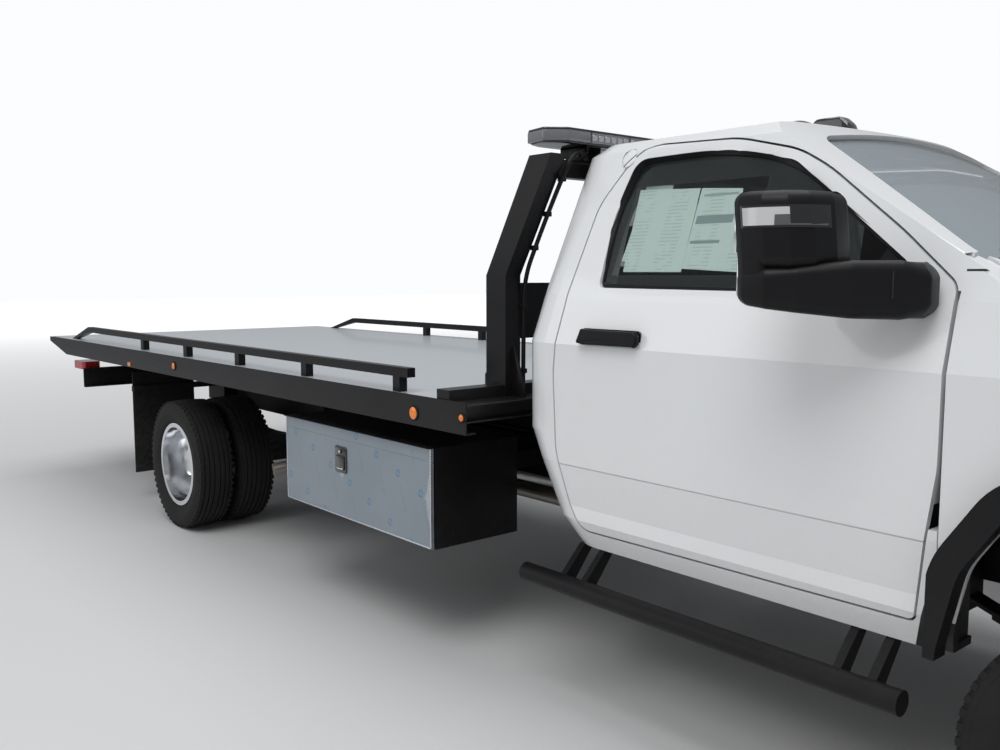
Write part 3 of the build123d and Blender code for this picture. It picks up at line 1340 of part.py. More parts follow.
WHEEL_CENTRE = (2395, 400, 1430)
WHEEL_TILT = 25
with BuildPart() as steering_wheel:
    lean = Plane(
        origin=WHEEL_CENTRE,
        x_dir=(0, 1, 0),
        z_dir=(-cos(radians(WHEEL_TILT)), 0, sin(radians(WHEEL_TILT))),
    )
    with Locations(lean):
        Torus(185, 15)
    column_end = (2512, 400, 1430 - 117 * sin(radians(WHEEL_TILT)) / cos(radians(WHEEL_TILT)))
    bar(WHEEL_CENTRE, column_end, 32)
    for turn in (90, 210, 330):
        rim_y = 400 + 180 * cos(radians(turn))
        up = 180 * sin(radians(turn))
        rim_x = WHEEL_CENTRE[0] + up * sin(radians(WHEEL_TILT))
        rim_z = WHEEL_CENTRE[2] + up * cos(radians(WHEEL_TILT))
        bar(WHEEL_CENTRE, (rim_x, rim_y, rim_z), 11)
save(steering_wheel.part, "steering_wheel")

# Seats: side X of cushion and back, one driver's and one wide passenger's
# Seat: lowest Y, highest Y
seats = [(130, 760), (-760, 90)]
with BuildPart() as seat_bases:
    for low_y, high_y in seats:
        block(1660, 2140, low_y + 40, high_y - 40, FLOOR_Z, 1120)
save(seat_bases.part, "seat_bases")
with BuildPart() as seat_cushions:
    for low_y, high_y in seats:
        side_slab(
            [
                (1560, 1122),
                (2190, 1122),
                (2200, 1250),
                (1680, 1230),
                (1520, 1790),
                (1390, 1790),
                (1480, 1300),
            ],
            low_y,
            high_y,
            30,
        )
save(seat_cushions.part, "seat_cushions")

# Steps below the doors: a round tube on four hangers each side
STEP_Y = 1045
STEP_Z = 457
STEP_RADIUS = 36
with BuildPart() as step_bars:
    bar((1314, -STEP_Y, STEP_Z), (2808, -STEP_Y, STEP_Z), STEP_RADIUS)
    for hanger_x in (1500, 1605, 2600, 2705):
        with BuildSketch(Plane.YZ.offset(hanger_x)) as hanger:
            with BuildLine():
                Polyline(
                    (-STEP_Y - 10, STEP_Z + 20),
                    (-STEP_Y + 40, STEP_Z - 10),
                    (-890, ROCKER_Z - 4),
                    (-890, ROCKER_Z),
                    (-940, ROCKER_Z),
                    close=True,
                )
            make_face()
        extrude(hanger.sketch, amount=26)
    both_sides()
save(step_bars.part, "step_bars")

# Toolboxes between the cab and the rear wheels, open on the outside, and their drop-down doors
BOX_REAR_X = -327
BOX_FRONT_X = 900
BOX_LOW_Z = 470
BOX_HIGH_Z = 892
BOX_OUT = 1172
BOX_IN = 727
BOX_WALL = 10
BOX_DOOR = 14
with BuildPart() as toolboxes:
    block(BOX_REAR_X, BOX_FRONT_X, -BOX_OUT, -BOX_IN, BOX_LOW_Z, BOX_HIGH_Z)
    block(
        BOX_REAR_X + BOX_WALL,
        BOX_FRONT_X - BOX_WALL,
        -BOX_OUT - 1,
        -BOX_IN - BOX_WALL,
        BOX_LOW_Z + BOX_WALL,
        BOX_HIGH_Z - BOX_WALL,
        Mode.SUBTRACT,
    )
    for hanger_x in (BOX_REAR_X + 150, BOX_FRONT_X - 150):
        block(hanger_x - 40, hanger_x + 40, -BOX_IN, -FRAME_HALF, 720, 800)
    both_sides()
save(toolboxes.part, "toolboxes")

DOOR_OUT = BOX_OUT + 6 + BOX_DOOR
for side, word in ((-1, "right"), (1, "left")):
    with BuildPart() as toolbox_door:
        low_y = min(side * (BOX_OUT + 6), side * DOOR_OUT)
        high_y = max(side * (BOX_OUT + 6), side * DOOR_OUT)
        block(BOX_REAR_X + 2, BOX_FRONT_X - 2, low_y, high_y, BOX_LOW_Z + 8, BOX_HIGH_Z - 2)
        start = (BOX_REAR_X + 2, side * (BOX_OUT + 13), BOX_LOW_Z + 8)
        end = (BOX_FRONT_X - 2, side * (BOX_OUT + 13), BOX_LOW_Z + 8)
        bar(start, end, 7)
    save(toolbox_door.part, f"toolbox_door_{word}")

# Mud flaps behind the rear wheels on bent hangers from the frame
FLAP_X = REAR_AXLE_X - 878
with BuildPart() as mud_flaps:
    block(FLAP_X - 8, FLAP_X + 4, -1120, -680, 205, 915)
    block(FLAP_X - 20, FLAP_X + 20, -1120, -FRAME_HALF, 780, 819)
    both_sides()
save(mud_flaps.part, "mud_flaps")

# Roof lamps: three low clearance lamps, and the tall fin housing behind the middle one
LAMP_X = 2010
FIN_X = 1880
with BuildPart() as roof_lamps:
    for lamp_y, lamp_top in ((-340, 2137), (0, 2146), (340, 2137)):
        with BuildSketch(Plane.XY.offset(2050)) as lamp:
            with Locations((LAMP_X, lamp_y)):
                SlotOverall(200, 62, rotation=90)
        extrude(lamp.sketch, amount=lamp_top - 2050)
    section_slab([(-170, 2080), (170, 2080), (96, 2200), (-96, 2200)], FIN_X - 55, FIN_X + 55, 24)
    add(cab_outer, mode=Mode.SUBTRACT)
save(roof_lamps.part, "roof_lamps")
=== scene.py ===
"""Flatbed tow truck: finishes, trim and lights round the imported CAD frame. Metres throughout."""

import json
from math import cos, pi, radians, sin

import bmesh
import bpy
import numpy
from mathutils import Matrix, Vector
from mathutils.bvhtree import BVHTree

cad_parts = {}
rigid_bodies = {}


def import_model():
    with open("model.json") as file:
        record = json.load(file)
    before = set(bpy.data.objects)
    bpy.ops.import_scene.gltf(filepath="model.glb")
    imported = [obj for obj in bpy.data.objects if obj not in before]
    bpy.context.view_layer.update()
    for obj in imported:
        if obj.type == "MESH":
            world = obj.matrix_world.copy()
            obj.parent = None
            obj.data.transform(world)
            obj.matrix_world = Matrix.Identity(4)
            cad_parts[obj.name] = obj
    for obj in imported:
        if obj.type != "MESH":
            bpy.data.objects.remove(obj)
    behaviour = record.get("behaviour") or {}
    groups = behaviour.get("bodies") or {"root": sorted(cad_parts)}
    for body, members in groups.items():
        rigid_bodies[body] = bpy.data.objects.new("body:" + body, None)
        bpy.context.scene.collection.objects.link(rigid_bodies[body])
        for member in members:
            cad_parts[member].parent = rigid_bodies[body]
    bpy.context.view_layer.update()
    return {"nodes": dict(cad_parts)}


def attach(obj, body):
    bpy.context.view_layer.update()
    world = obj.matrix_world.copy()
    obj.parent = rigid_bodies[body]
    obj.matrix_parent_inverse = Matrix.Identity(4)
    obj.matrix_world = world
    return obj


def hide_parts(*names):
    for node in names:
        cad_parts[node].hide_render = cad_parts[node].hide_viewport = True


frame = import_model()
nodes = frame["nodes"]

# The middles of the axles, and the two sides with their words in the names of pieces
REAR_AXLE = Vector((-1.850, 0, 0.405))
FRONT_AXLE = Vector((3.344, 0, 0.405))
SIDES = ((-1, "right"), (1, "left"))


class Term:
    """A shader socket, on which arithmetic adds Math nodes."""

    def __init__(self, finish, socket):
        self.finish = finish
        self.socket = socket

    def math(self, operation, other, turned=False):
        first, second = (other, self) if turned else (self, other)
        return self.finish.node("ShaderNodeMath", {"operation": operation}, {0: first, 1: second})

    def __add__(self, other):
        return self.math("ADD", other)

    def __radd__(self, other):
        return self.math("ADD", other)

    def __sub__(self, other):
        return self.math("SUBTRACT", other)

    def __rsub__(self, other):
        return self.math("SUBTRACT", other, True)

    def __mul__(self, other):
        return self.math("MULTIPLY", other)

    def __rmul__(self, other):
        return self.math("MULTIPLY", other)

    def __truediv__(self, other):
        return self.math("DIVIDE", other)

    def __gt__(self, other):
        return self.math("GREATER_THAN", other)

    def __lt__(self, other):
        return self.math("LESS_THAN", other)

    def larger(self, other):
        return self.math("MAXIMUM", other)

    def smaller(self, other):
        return self.math("MINIMUM", other)

    def whole(self):
        return self.math("FLOOR", 0)

    def size(self):
        return self.math("ABSOLUTE", 0)

    def sine(self):
        return self.math("SINE", 0)

    def root(self):
        return self.math("SQRT", 0)


class Finish:
    """A Principled material whose varying values are worked out from Object coordinates."""

    def __init__(self, name, constants):
        self.material = bpy.data.materials.new(name)
        self.material.use_nodes = True
        self.tree = self.material.node_tree
        self.shader = self.tree.nodes["Principled BSDF"]
        for label, value in constants.items():
            self.shader.inputs[label].default_value = value

    def node(self, kind, settings, values, output=0):
        made = self.tree.nodes.new(kind)
        for label, value in settings.items():
            setattr(made, label, value)
        for label, value in values.items():
            if isinstance(value, Term):
                self.tree.links.new(value.socket, made.inputs[label])
            else:
                made.inputs[label].default_value = value
        return Term(self, made.outputs[output])

    def feed(self, label, value):
        self.tree.links.new(value.socket, self.shader.inputs[label])

    def place(self, scale=(1, 1, 1)):
        start = self.node("ShaderNodeTexCoord", {}, {}, "Object")
        return self.node("ShaderNodeMapping", {}, {"Vector": start, "Scale": scale})

    def parts(self, place=None):
        split = self.node("ShaderNodeSeparateXYZ", {}, {"Vector": place or self.place()})
        outputs = split.socket.node.outputs
        return [Term(self, outputs[label]) for label in "XYZ"]

    def noise(self, scale, detail=3.0, rough=0.5, place=None):
        values = {
            "Vector": place or self.place(),
            "Scale": scale,
            "Detail": detail,
            "Roughness": rough,
        }
        return self.node("ShaderNodeTexNoise", {}, values)

    def mix(self, factor, first, second):
        names = {"data_type": "RGBA"}
        values = {"Factor": factor, 6: first, 7: second}
        return self.node("ShaderNodeMix", names, values, 2)

    def between(self, value, low, high, first=0.0, second=1.0):
        values = {"Value": value, 1: low, 2: high, 3: first, 4: second}
        return self.node("ShaderNodeMapRange", {"clamp": True}, values)

    def bump(self, height, strength, distance):
        values = {"Height": height, "Strength": strength, "Distance": distance}
        self.feed("Normal", self.node("ShaderNodeBump", {}, values))


def grey(level):
    return (level, level, level, 1)


# Shader settings of the coats
PAINT_COAT = {"Coat Weight": 0.8, "Coat Roughness": 0.05}
DECK_COAT = {"Coat Weight": 0.08, "Coat Roughness": 0.14, "Specular IOR Level": 0.2}
GLASS_COAT = {"Coat Weight": 0.6, "Coat Roughness": 0.02, "Specular IOR Level": 0.7}
MATT = {"Specular IOR Level": 0.15}
SOFT_SHEEN = {"Specular IOR Level": 0.22}

# Colour of the dust, and the two heights between which it thins out
DUST = (0.30, 0.28, 0.25, 1)
DUST_HEIGHTS = (0.25, 1.35)


def dusted(finish, z, amount):
    """Broad tone drift, fine noise, and the dust that settles in patches low down."""
    drift = finish.noise(2.3, 4)
    fine = finish.noise(46, 5, 0.65)
    low = finish.between(z, *DUST_HEIGHTS, 1.0, 0.06)
    settled = finish.between(fine * 0.6 + drift * 0.5, 0.46, 0.72) * low * amount
    return drift, fine, settled


def coated(
    name, colour, rough, constants=None, spread=0.05, dust=0.12, grain=0.0, grain_scale=900, wear=0.0
):
    """Paint or plastic: broad tone drift, dust that gathers low down, and a fine grain."""
    finish = Finish(name, {"Roughness": rough, **(constants or {})})
    x, y, z = finish.parts()
    drift, fine, settled = dusted(finish, z, dust)
    pale = tuple(min(1, c * (1 + spread) + spread * 0.02) for c in colour) + (1,)
    deep = tuple(c * (1 - spread) for c in colour) + (1,)
    base = finish.mix(drift, deep, pale)
    if wear:
        rub = finish.between(finish.noise(13, 6, 0.7), 0.66, 0.72) * wear
        base = finish.mix(rub, base, (0.24, 0.23, 0.22, 1))
    finish.feed("Base Color", finish.mix(settled, base, DUST))
    finish.feed("Roughness", fine * 0.12 + settled * 0.5 + (rough - 0.06))
    if grain:
        finish.bump(finish.noise(grain_scale, 2), grain, 0.0004)
    return finish.material


def creased(name, shape, depth):
    """White paint with pressed creases: shape gives a height from 0 to 1 for x, y, z."""
    finish = Finish(name, PAINT_COAT)
    x, y, z = finish.parts()
    drift, fine, settled = dusted(finish, z, 0.08)
    base = finish.mix(drift, (0.78, 0.79, 0.80, 1), (0.82, 0.83, 0.84, 1))
    finish.feed("Base Color", finish.mix(settled, base, DUST))
    finish.feed("Roughness", fine * 0.10 + settled * 0.5 + 0.17)
    finish.bump(shape(finish, x, y, z), 1.0, depth)
    return finish.material


def door_creases(finish, x, y, z):
    line = finish.between(z, 0.893, 0.897) * 0.16
    heel = finish.between(z, 0.742, 0.690)
    waist = finish.between(z, 1.500, 1.522, 1.0, 0.0) * 0.10
    return line + heel + waist


def hood_creases(finish, x, y, z):
    bulge = finish.between(y.size(), 0.330, 0.385, 1.0, 0.0)
    edge = finish.between(y.size(), 0.700, 0.715, 0.0, 0.25)
    spine = finish.between(y.size(), 0.120, 0.150, 0.0, 0.2)
    return bulge + edge + spine


def masked(name, mask, first, second):
    """Two tones on one piece, each a colour, a roughness and a coat. The mask is 1 on the second."""
    finish = Finish(name, {"Coat Roughness": 0.08})
    x, y, z = finish.parts()
    where = mask(x, y, z)
    fine, settled = dusted(finish, z, 0.10)[1:]
    base = finish.mix(where, (*first[0], 1), (*second[0], 1))
    finish.feed("Base Color", finish.mix(settled, base, DUST))
    finish.feed("Roughness", where * (second[1] - first[1]) + fine * 0.10 + (first[1] - 0.05))
    finish.feed("Coat Weight", where * (second[2] - first[2]) + first[2])
    return finish.material


# Tones for the pieces with two of them
WHITE = ((0.80, 0.81, 0.82), 0.22, 0.8)
SATIN_BLACK = ((0.006, 0.006, 0.006), 0.5, 0.0)
# Deck top: grey paint, with a blue tint that is a painted reflection of the sky
DECK_GREY = ((0.50, 0.53, 0.56), 0.30, 0.25)
DECK_BLACK = ((0.005, 0.005, 0.006), 0.30, 0.12)
SIGNAL_CLEAR = ((0.62, 0.62, 0.63), 0.15, 0.6)
SIGNAL_DARK = ((0.10, 0.10, 0.10), 0.15, 0.6)


def metal(name, colour, rough, streak=(1, 1, 1), dust=0.1):
    """Bare metal with streaks drawn out along one direction, and a little dust."""
    finish = Finish(name, {"Metallic": 1.0})
    lines = finish.noise(160, 4, 0.6, finish.place(streak))
    drift = finish.noise(3.1, 4)
    settled = finish.between(drift, 0.5, 0.75) * dust
    deep = tuple(c * 0.86 for c in colour) + (1,)
    base = finish.mix(lines, deep, (*colour, 1))
    finish.feed("Base Color", finish.mix(settled, base, DUST))
    finish.feed("Roughness", lines * 0.14 + drift * 0.08 + (rough - 0.1))
    finish.bump(lines, 0.05, 0.0005)
    return finish.material


def tinted_glass(name, colour, alpha):
    """Lens or glass in one tone, with a faint haze."""
    finish = Finish(name, GLASS_COAT)
    haze = finish.noise(7, 4, 0.6)
    shade = tuple(c * 1.3 + 0.004 for c in colour) + (1,)
    finish.feed("Base Color", finish.mix(haze, (*colour, 1), shade))
    finish.feed("Roughness", haze * 0.03 + 0.03)
    finish.feed("Alpha", haze * 0.04 + (alpha - 0.02))
    return finish.material


# Windscreen: a place at its foot, the way its middle faces, and how far it bends back across
SCREEN_X = 3.033
SCREEN_Z = 1.651
SCREEN_FACES_X = 0.4797
SCREEN_FACES_Z = 0.8777
SCREEN_BEND = 1 / 8.4

# Between the rear window and the windscreen
CAB_MIDDLE_X = 1.7


def before_screen(x, y, z):
    """Distance in front of the windscreen's curved sheet. Inside the cab it is below zero."""
    return (x - SCREEN_X) * SCREEN_FACES_X + (z - SCREEN_Z) * SCREEN_FACES_Z + y * y * SCREEN_BEND


def up_screen(x, z):
    """Distance up the windscreen's slope from its foot."""
    return (x - SCREEN_X) * -SCREEN_FACES_Z + (z - SCREEN_Z) * SCREEN_FACES_X


def screen_band(x, y, z):
    """1 on the black bands printed round the windscreen and the rear window."""
    up = up_screen(x, z)
    half_width = (up - 0.072) * -0.3425 + 0.888
    side = (half_width - y.size()) < 0.010
    foot = up < 0.118
    head = up > 0.855
    screen = side.larger(foot).larger(head) * (x > CAB_MIDDLE_X)
    rear_side = y.size() > ((z - 1.56) * -0.108 + 0.536)
    rear_edge = (z < 1.584).larger(z > 1.906)
    return screen.larger(rear_side.larger(rear_edge) * (x < CAB_MIDDLE_X))


def screen_glass():
    """Glass of the windscreen and the rear window, with their black bands. Its pale blue-grey, half-opaque
    tone is a painted reflection of the sky.
    """
    finish = Finish("screen_glass", GLASS_COAT)
    x, y, z = finish.parts()
    band = screen_band(x, y, z)
    haze = finish.noise(5, 4, 0.6)
    # Pale blue-grey, half opaque: painted reflection of the sky; near black: the printed bands
    finish.feed("Base Color", finish.mix(band, (0.40, 0.47, 0.51, 1), (0.008, 0.008, 0.009, 1)))
    finish.feed("Roughness", haze * 0.03 + band * 0.08 + 0.02)
    finish.feed("Alpha", band * 0.46 + 0.54)
    return finish.material


def door_glass():
    """Dark side glass. On the right side it is lighter to look through in front of the papers."""
    finish = Finish("door_glass", {"Coat Weight": 0.5, "Coat Roughness": 0.02, "Specular IOR Level": 0.6})
    x, y, z = finish.parts()
    haze = finish.noise(7, 4, 0.6)
    window = (x > 1.62) * (x < 2.18) * (z > 1.59) * (z < 1.905) * (y < 0.0)
    finish.feed("Base Color", finish.mix(haze, (0.010, 0.014, 0.014, 1), (0.020, 0.026, 0.026, 1)))
    finish.feed("Roughness", haze * 0.03 + 0.02)
    finish.feed("Alpha", 0.66 - window * 0.50)
    return finish.material


def tyre_rubber():
    """Black rubber with grit and patches of road dust."""
    finish = Finish("tyre_rubber", {"Specular IOR Level": 0.35})
    patch = finish.noise(9, 5, 0.6)
    grit = finish.noise(420, 3)
    dusty = finish.between(patch, 0.42, 0.75) * 0.4
    base = finish.mix(dusty, grey(0.011), (0.028, 0.027, 0.025, 1))
    finish.feed("Base Color", base)
    finish.feed("Roughness", patch * 0.15 + 0.72)
    finish.bump(grit, 0.25, 0.0006)
    return finish.material


def seat_cloth():
    """Grey cloth with a fine weave."""
    finish = Finish("seat_cloth", {"Sheen Weight": 0.35, "Sheen Roughness": 0.5})
    x, y, z = finish.parts()
    weave = ((x + z) * 2400).sine() * (y * 2400).sine()
    patch = finish.noise(12, 4)
    base = finish.mix(weave * 0.25 + patch * 0.5, (0.055, 0.056, 0.060, 1), (0.10, 0.10, 0.105, 1))
    finish.feed("Base Color", base)
    finish.feed("Roughness", patch * 0.1 + 0.82)
    finish.bump(weave, 0.35, 0.0006)
    return finish.material


def blank_paper():
    """A window sheet with faint rules and bars, and nothing that can be read. It glows faintly, though it is
    no lamp: painted light.
    """
    finish = Finish("blank_paper", {"Roughness": 0.85, "Emission Strength": 1.0})
    x, y, z = finish.parts()
    rules = ((z * 520).sine() > 0.60) * 0.30
    columns = finish.between((x * 42).sine(), -0.2, -0.1)
    body = finish.between(finish.noise(24, 2), 0.42, 0.50)
    bars = (((x - 2.00).size() < 0.075) * ((z - 1.775).size() < 0.014)).larger(
        ((x - 1.985).size() < 0.060) * ((z - 1.700).size() < 0.005)
    )
    head = ((x - 2.00).size() < 0.070) * ((z - 1.858).size() < 0.004)
    mark = (rules * columns * body).larger(bars * 0.75).larger(head * 0.6)
    finish.feed("Base Color", finish.mix(mark, (0.62, 0.78, 0.72, 1), (0.16, 0.24, 0.24, 1)))
    # Painted light: a faint glow on the sheet, weaker on its marks
    finish.feed("Emission Color", finish.mix(mark, (0.10, 0.13, 0.12, 1), (0.02, 0.03, 0.03, 1)))
    return finish.material


# Pattern of the film: width of a column, height of a row, and how far each column is set up
FILM_COLUMN = 0.135
FILM_ROW = 0.30
FILM_STEP = 0.37


def film_door():
    """Bright steel under a pale blue film: staggered rings and slanted dashes, torn round the latch."""
    finish = Finish("film_door", {"Specular IOR Level": 0.6, "Coat Roughness": 0.2})
    x, y, z = finish.parts()
    slant_x = x * 0.94 + z * 0.34
    slant_z = z * 0.94 - x * 0.34
    column = slant_x / FILM_COLUMN
    row = slant_z / FILM_ROW + column.whole() * FILM_STEP
    across = (column - column.whole() - 0.5) * FILM_COLUMN
    along = (row - row.whole() - 0.5) * FILM_ROW
    dash = (across.size() < 0.0055) * ((along + 0.02).size() < 0.062)
    dots = (along * 190).sine() > -0.2
    ring_up = along - 0.10
    ring_distance = (across * across + ring_up * ring_up).root()
    ring = ((ring_distance - 0.0125).size() < 0.0042) * ((across + ring_up).size() > 0.004)
    faint = finish.noise(5, 3)
    dash_tone = dash * (dots * 0.25 + 0.2) * (faint * 0.8 + 0.3)
    ring_tone = ring * 0.75
    gap_x = x - 0.205
    gap_z = z - 0.735
    jag = finish.noise(34, 4, 0.65)
    tear = ((gap_x * gap_x * 1.3 + gap_z * gap_z * 0.55).root() + (jag - 0.5) * 0.075) < 0.052
    edge_tear = ((x - 0.898).size() + (z - 0.68).size() * 0.26 + (jag - 0.5) * 0.05) < 0.040
    bare = tear.larger(edge_tear)
    cloud = finish.noise(3.0, 4)
    film = finish.mix(cloud, (0.22, 0.26, 0.30, 1), (0.31, 0.35, 0.40, 1))
    film = finish.mix(dash_tone, film, (0.14, 0.25, 0.34, 1))
    film = finish.mix(ring_tone, film, (0.05, 0.22, 0.42, 1))
    steel = finish.mix(jag, (0.30, 0.33, 0.36, 1), (0.62, 0.66, 0.70, 1))
    finish.feed("Base Color", finish.mix(bare, film, steel))
    finish.feed("Metallic", bare * 0.5 + 0.35)
    finish.feed("Roughness", cloud * 0.10 + 0.30)
    finish.bump(finish.noise(9, 3, 0.5, finish.place((1, 1, 2.2))) + bare * -0.4, 0.16, 0.004)
    return finish.material


paper = blank_paper()
film_skin = film_door()
film_edge = coated("film_edge", (0.20, 0.24, 0.28), 0.4)
white_paint = coated("white_paint", (0.80, 0.81, 0.82), 0.22, PAINT_COAT, 0.02, 0.10)
deck_black = coated("deck_black", (0.005, 0.005, 0.006), 0.32, DECK_COAT, 0.3, 0.03)
frame_black = coated("frame_black", (0.007, 0.007, 0.008), 0.50, MATT, 0.3, 0.06, wear=0.05)
axle_metal = coated("axle_metal", (0.016, 0.016, 0.017), 0.6, MATT, 0.35, 0.12, grain=0.3, grain_scale=260)
rope_steel = metal("rope_steel", (0.30, 0.31, 0.33), 0.38, (1, 1, 1), 0.1)
silver_metal = metal("silver_metal", (0.52, 0.52, 0.53), 0.42)
exhaust_metal = metal("exhaust_metal", (0.42, 0.39, 0.35), 0.45, (0.1, 1, 1), 0.2)
wheel_polish = metal("wheel_polish", (0.86, 0.87, 0.89), 0.16, (1, 1, 1), 0.05)
chrome = metal("rod_chrome", (0.83, 0.84, 0.86), 0.12, (0.2, 1, 1), 0.04)
rubber = tyre_rubber()
glass = screen_glass()
side_glass = door_glass()
grain_plastic = coated("grain_plastic", (0.006, 0.006, 0.007), 0.42, SOFT_SHEEN, 0.15, 0.02, grain=0.25)
gloss_black = coated("gloss_black", (0.010, 0.010, 0.011), 0.12, {"Coat Weight": 0.5}, 0.2, 0.05)
clear_lens = tinted_glass("clear_lens", (0.62, 0.66, 0.68), 0.38)
signal_lens = masked(
    "signal_lens",
    lambda x, y, z: (x > 2.548) * (z < 1.744) * (y.size() > 1.0),
    SIGNAL_CLEAR,
    SIGNAL_DARK,
)
smoked_lens = tinted_glass("smoked_lens", (0.012, 0.010, 0.010), 0.93)
red_lens = tinted_glass("red_lens", (0.42, 0.008, 0.008), 0.95)
amber_lens = tinted_glass("amber_lens", (0.80, 0.20, 0.01), 0.95)
beacon_grey = tinted_glass("beacon_grey", (0.16, 0.165, 0.175), 0.92)
dash_plastic = coated("dash_plastic", (0.045, 0.046, 0.050), 0.6, None, 0.15, 0.05, grain=0.4)
cloth = seat_cloth()
box_steel = metal("box_steel", (0.74, 0.78, 0.82), 0.25)
flap_rubber = coated("flap_rubber", (0.010, 0.010, 0.010), 0.7, MATT, 0.2, 0.10, grain=0.3)

door_paint = creased("door_paint", door_creases, 0.020)
hood_paint = creased("hood_paint", hood_creases, 0.014)

# Dish over the notch at each door's upper rear corner, with a piece of the door's shut line on it
CORNER_X = 1.555
CORNER_Z = 2.021
CORNER_RADIUS = 0.0325


def corner_shut_line(x, y, z):
    """1 on the dark line that crosses the dish."""
    return ((x - CORNER_X) * 0.72 - (z - CORNER_Z) * 0.69 - 0.0138).size() < 0.0024


corner_paint = masked("corner_paint", corner_shut_line, WHITE, SATIN_BLACK)


def fender_blacks(x, y, z):
    """1 on the fender's inner walls and on its heel behind the wheel."""
    inner_wall = (y.size() + (x - 3.93).larger(0.0) * 0.35 < 0.985) * (z < 1.30)
    heel = (x - z * 0.175 < 2.722) * (z < 0.86) * (x < 3.0)
    return inner_wall.larger(heel)


fender_paint = masked("fender_paint", fender_blacks, WHITE, SATIN_BLACK)


def cab_blacks(x, y, z):
    """1 on the cab's dark parts: the inside, the cowl, the floor's underside and the flare's heel."""
    nose = (z < 1.606) * (x > 2.868)
    under = (y.size() < 0.90) * (z < 0.89)
    inner_wall = ((z - 1.60) * -0.4 + 0.905).smaller(0.92)
    inside = (inner_wall > y.size()) * (z > 0.885) * (z < 1.98) * (x > 1.345)
    inside = inside * (before_screen(x, y, z) < -0.022)
    cowl = (up_screen(x, z) < 0.066) * (y.size() < 0.86) * (x > 2.90)
    heel = (x - z * 0.27 > 2.6325) * (z < 0.862) * (y.size() > 0.93)
    return nose.larger(under).larger(inside).larger(cowl).larger(heel)


cab_paint = masked("cab_paint", cab_blacks, WHITE, SATIN_BLACK)
# Deck floor: grey top, whose blue tint is a painted sky reflection, with a black front and underside
deck_paint = masked(
    "deck_paint",
    lambda x, y, z: (x > 1.02).larger(z < 1.093),
    DECK_GREY,
    DECK_BLACK,
)

# The CAD nodes of each finish
node_finishes = [
    (frame_black, ["frame_rails", "leaf_springs", "seat_bases", "tilt_frame", "lift_barrels", "winch"]),
    (axle_metal, ["front_axle", "rear_axle", "knuckle_left", "knuckle_right", "winch_drum"]),
    (grain_plastic, ["fuel_tank", "fender_flares", "front_bumper", "step_bars"]),
    (deck_black, ["toolboxes", "side_channels", "side_rails", "headboard"]),
    (dash_plastic, ["dashboard", "steering_wheel"]),
    (silver_metal, ["driveline"]),
    (exhaust_metal, ["exhaust"]),
    (cab_paint, ["cab_shell"]),
    (glass, ["cab_glass"]),
    (fender_paint, ["front_fenders"]),
    (white_paint, ["front_fascia"]),
    (clear_lens, ["headlamps"]),
    (gloss_black, ["grille"]),
    (cloth, ["seat_cushions"]),
    (flap_rubber, ["mud_flaps"]),
    (smoked_lens, ["roof_lamps"]),
    (hood_paint, ["hood"]),
    (chrome, ["lift_rods"]),
    (deck_paint, ["deck_floor"]),
    (beacon_grey, ["light_bar"]),
    (red_lens, ["tail_lamps"]),
]
for side, word in SIDES:
    node_finishes += [
        (door_paint, [f"door_{word}"]),
        (side_glass, [f"door_glass_{word}"]),
        (grain_plastic, [f"door_fittings_{word}"]),
        (film_skin, [f"toolbox_door_{word}"]),
        (rubber, [f"front_tyre_{word}", f"rear_tyres_{word}"]),
        (wheel_polish, [f"front_wheel_{word}", f"rear_wheels_{word}"]),
    ]
for finish, names in node_finishes:
    for name in names:
        nodes[name].data.materials.clear()
        nodes[name].data.materials.append(finish)


# Shapes: each helper adds one closed form to a bmesh
def boxy(made, low, high, soft=0.0, steps=2, placing=None):
    """A block between two corners, its edges rounded, then placed."""
    centre = (Vector(low) + Vector(high)) / 2
    size = Vector([abs(b - a) for a, b in zip(low, high)])
    stand = (placing or Matrix()) @ Matrix.Translation(centre) @ Matrix.Diagonal((*size, 1))
    shape = bmesh.ops.create_cube(made, size=1, matrix=stand)
    if soft:
        edges = list({edge for vertex in shape["verts"] for edge in vertex.link_edges})
        round_edges(made, edges, soft, steps)


def round_edges(made, edges, soft, steps=2):
    bmesh.ops.bevel(
        made, geom=edges, offset=soft, segments=steps, profile=0.5, affect="EDGES", material=-1
    )


def oblong(left, right, low, high):
    """The four corners of an upright oblong, from its lower left one round."""
    return [(left, low), (right, low), (right, high), (left, high)]


def rod(made, start, end, radius, far_radius=None, sides=24):
    """A round bar or cone from one point to another."""
    start, end = Vector(start), Vector(end)
    way = end - start
    stand = Matrix.Translation((start + end) / 2) @ way.to_track_quat("Z", "Y").to_matrix().to_4x4()
    bmesh.ops.create_cone(
        made,
        cap_ends=True,
        segments=sides,
        radius1=radius,
        radius2=radius if far_radius is None else far_radius,
        depth=way.length,
        matrix=stand,
    )


def ball(made, centre, radius, flat=(1, 1, 1)):
    stand = Matrix.Translation(centre) @ Matrix.Diagonal((*flat, 1))
    bmesh.ops.create_uvsphere(made, u_segments=20, v_segments=12, radius=radius, matrix=stand)


PLANES = {
    "side": lambda a, b, depth: Vector((a, depth, b)),
    "plan": lambda a, b, depth: Vector((a, b, depth)),
    "cross": lambda a, b, depth: Vector((depth, a, b)),
}


def slab(made, points, plane, low, high, soft=0.0, steps=2):
    """An outline drawn on a plane and pushed from one depth to another."""
    spot = PLANES[plane]
    corners = [made.verts.new(spot(a, b, low)) for a, b in points]
    face = made.faces.new(corners)
    pushed = bmesh.ops.extrude_face_region(made, geom=[face])
    moved = [item for item in pushed["geom"] if isinstance(item, bmesh.types.BMVert)]
    shift = spot(0, 0, high) - spot(0, 0, low)
    bmesh.ops.translate(made, vec=shift, verts=moved)
    if soft:
        edges = list({edge for vertex in corners + moved for edge in vertex.link_edges})
        round_edges(made, edges, soft, steps)


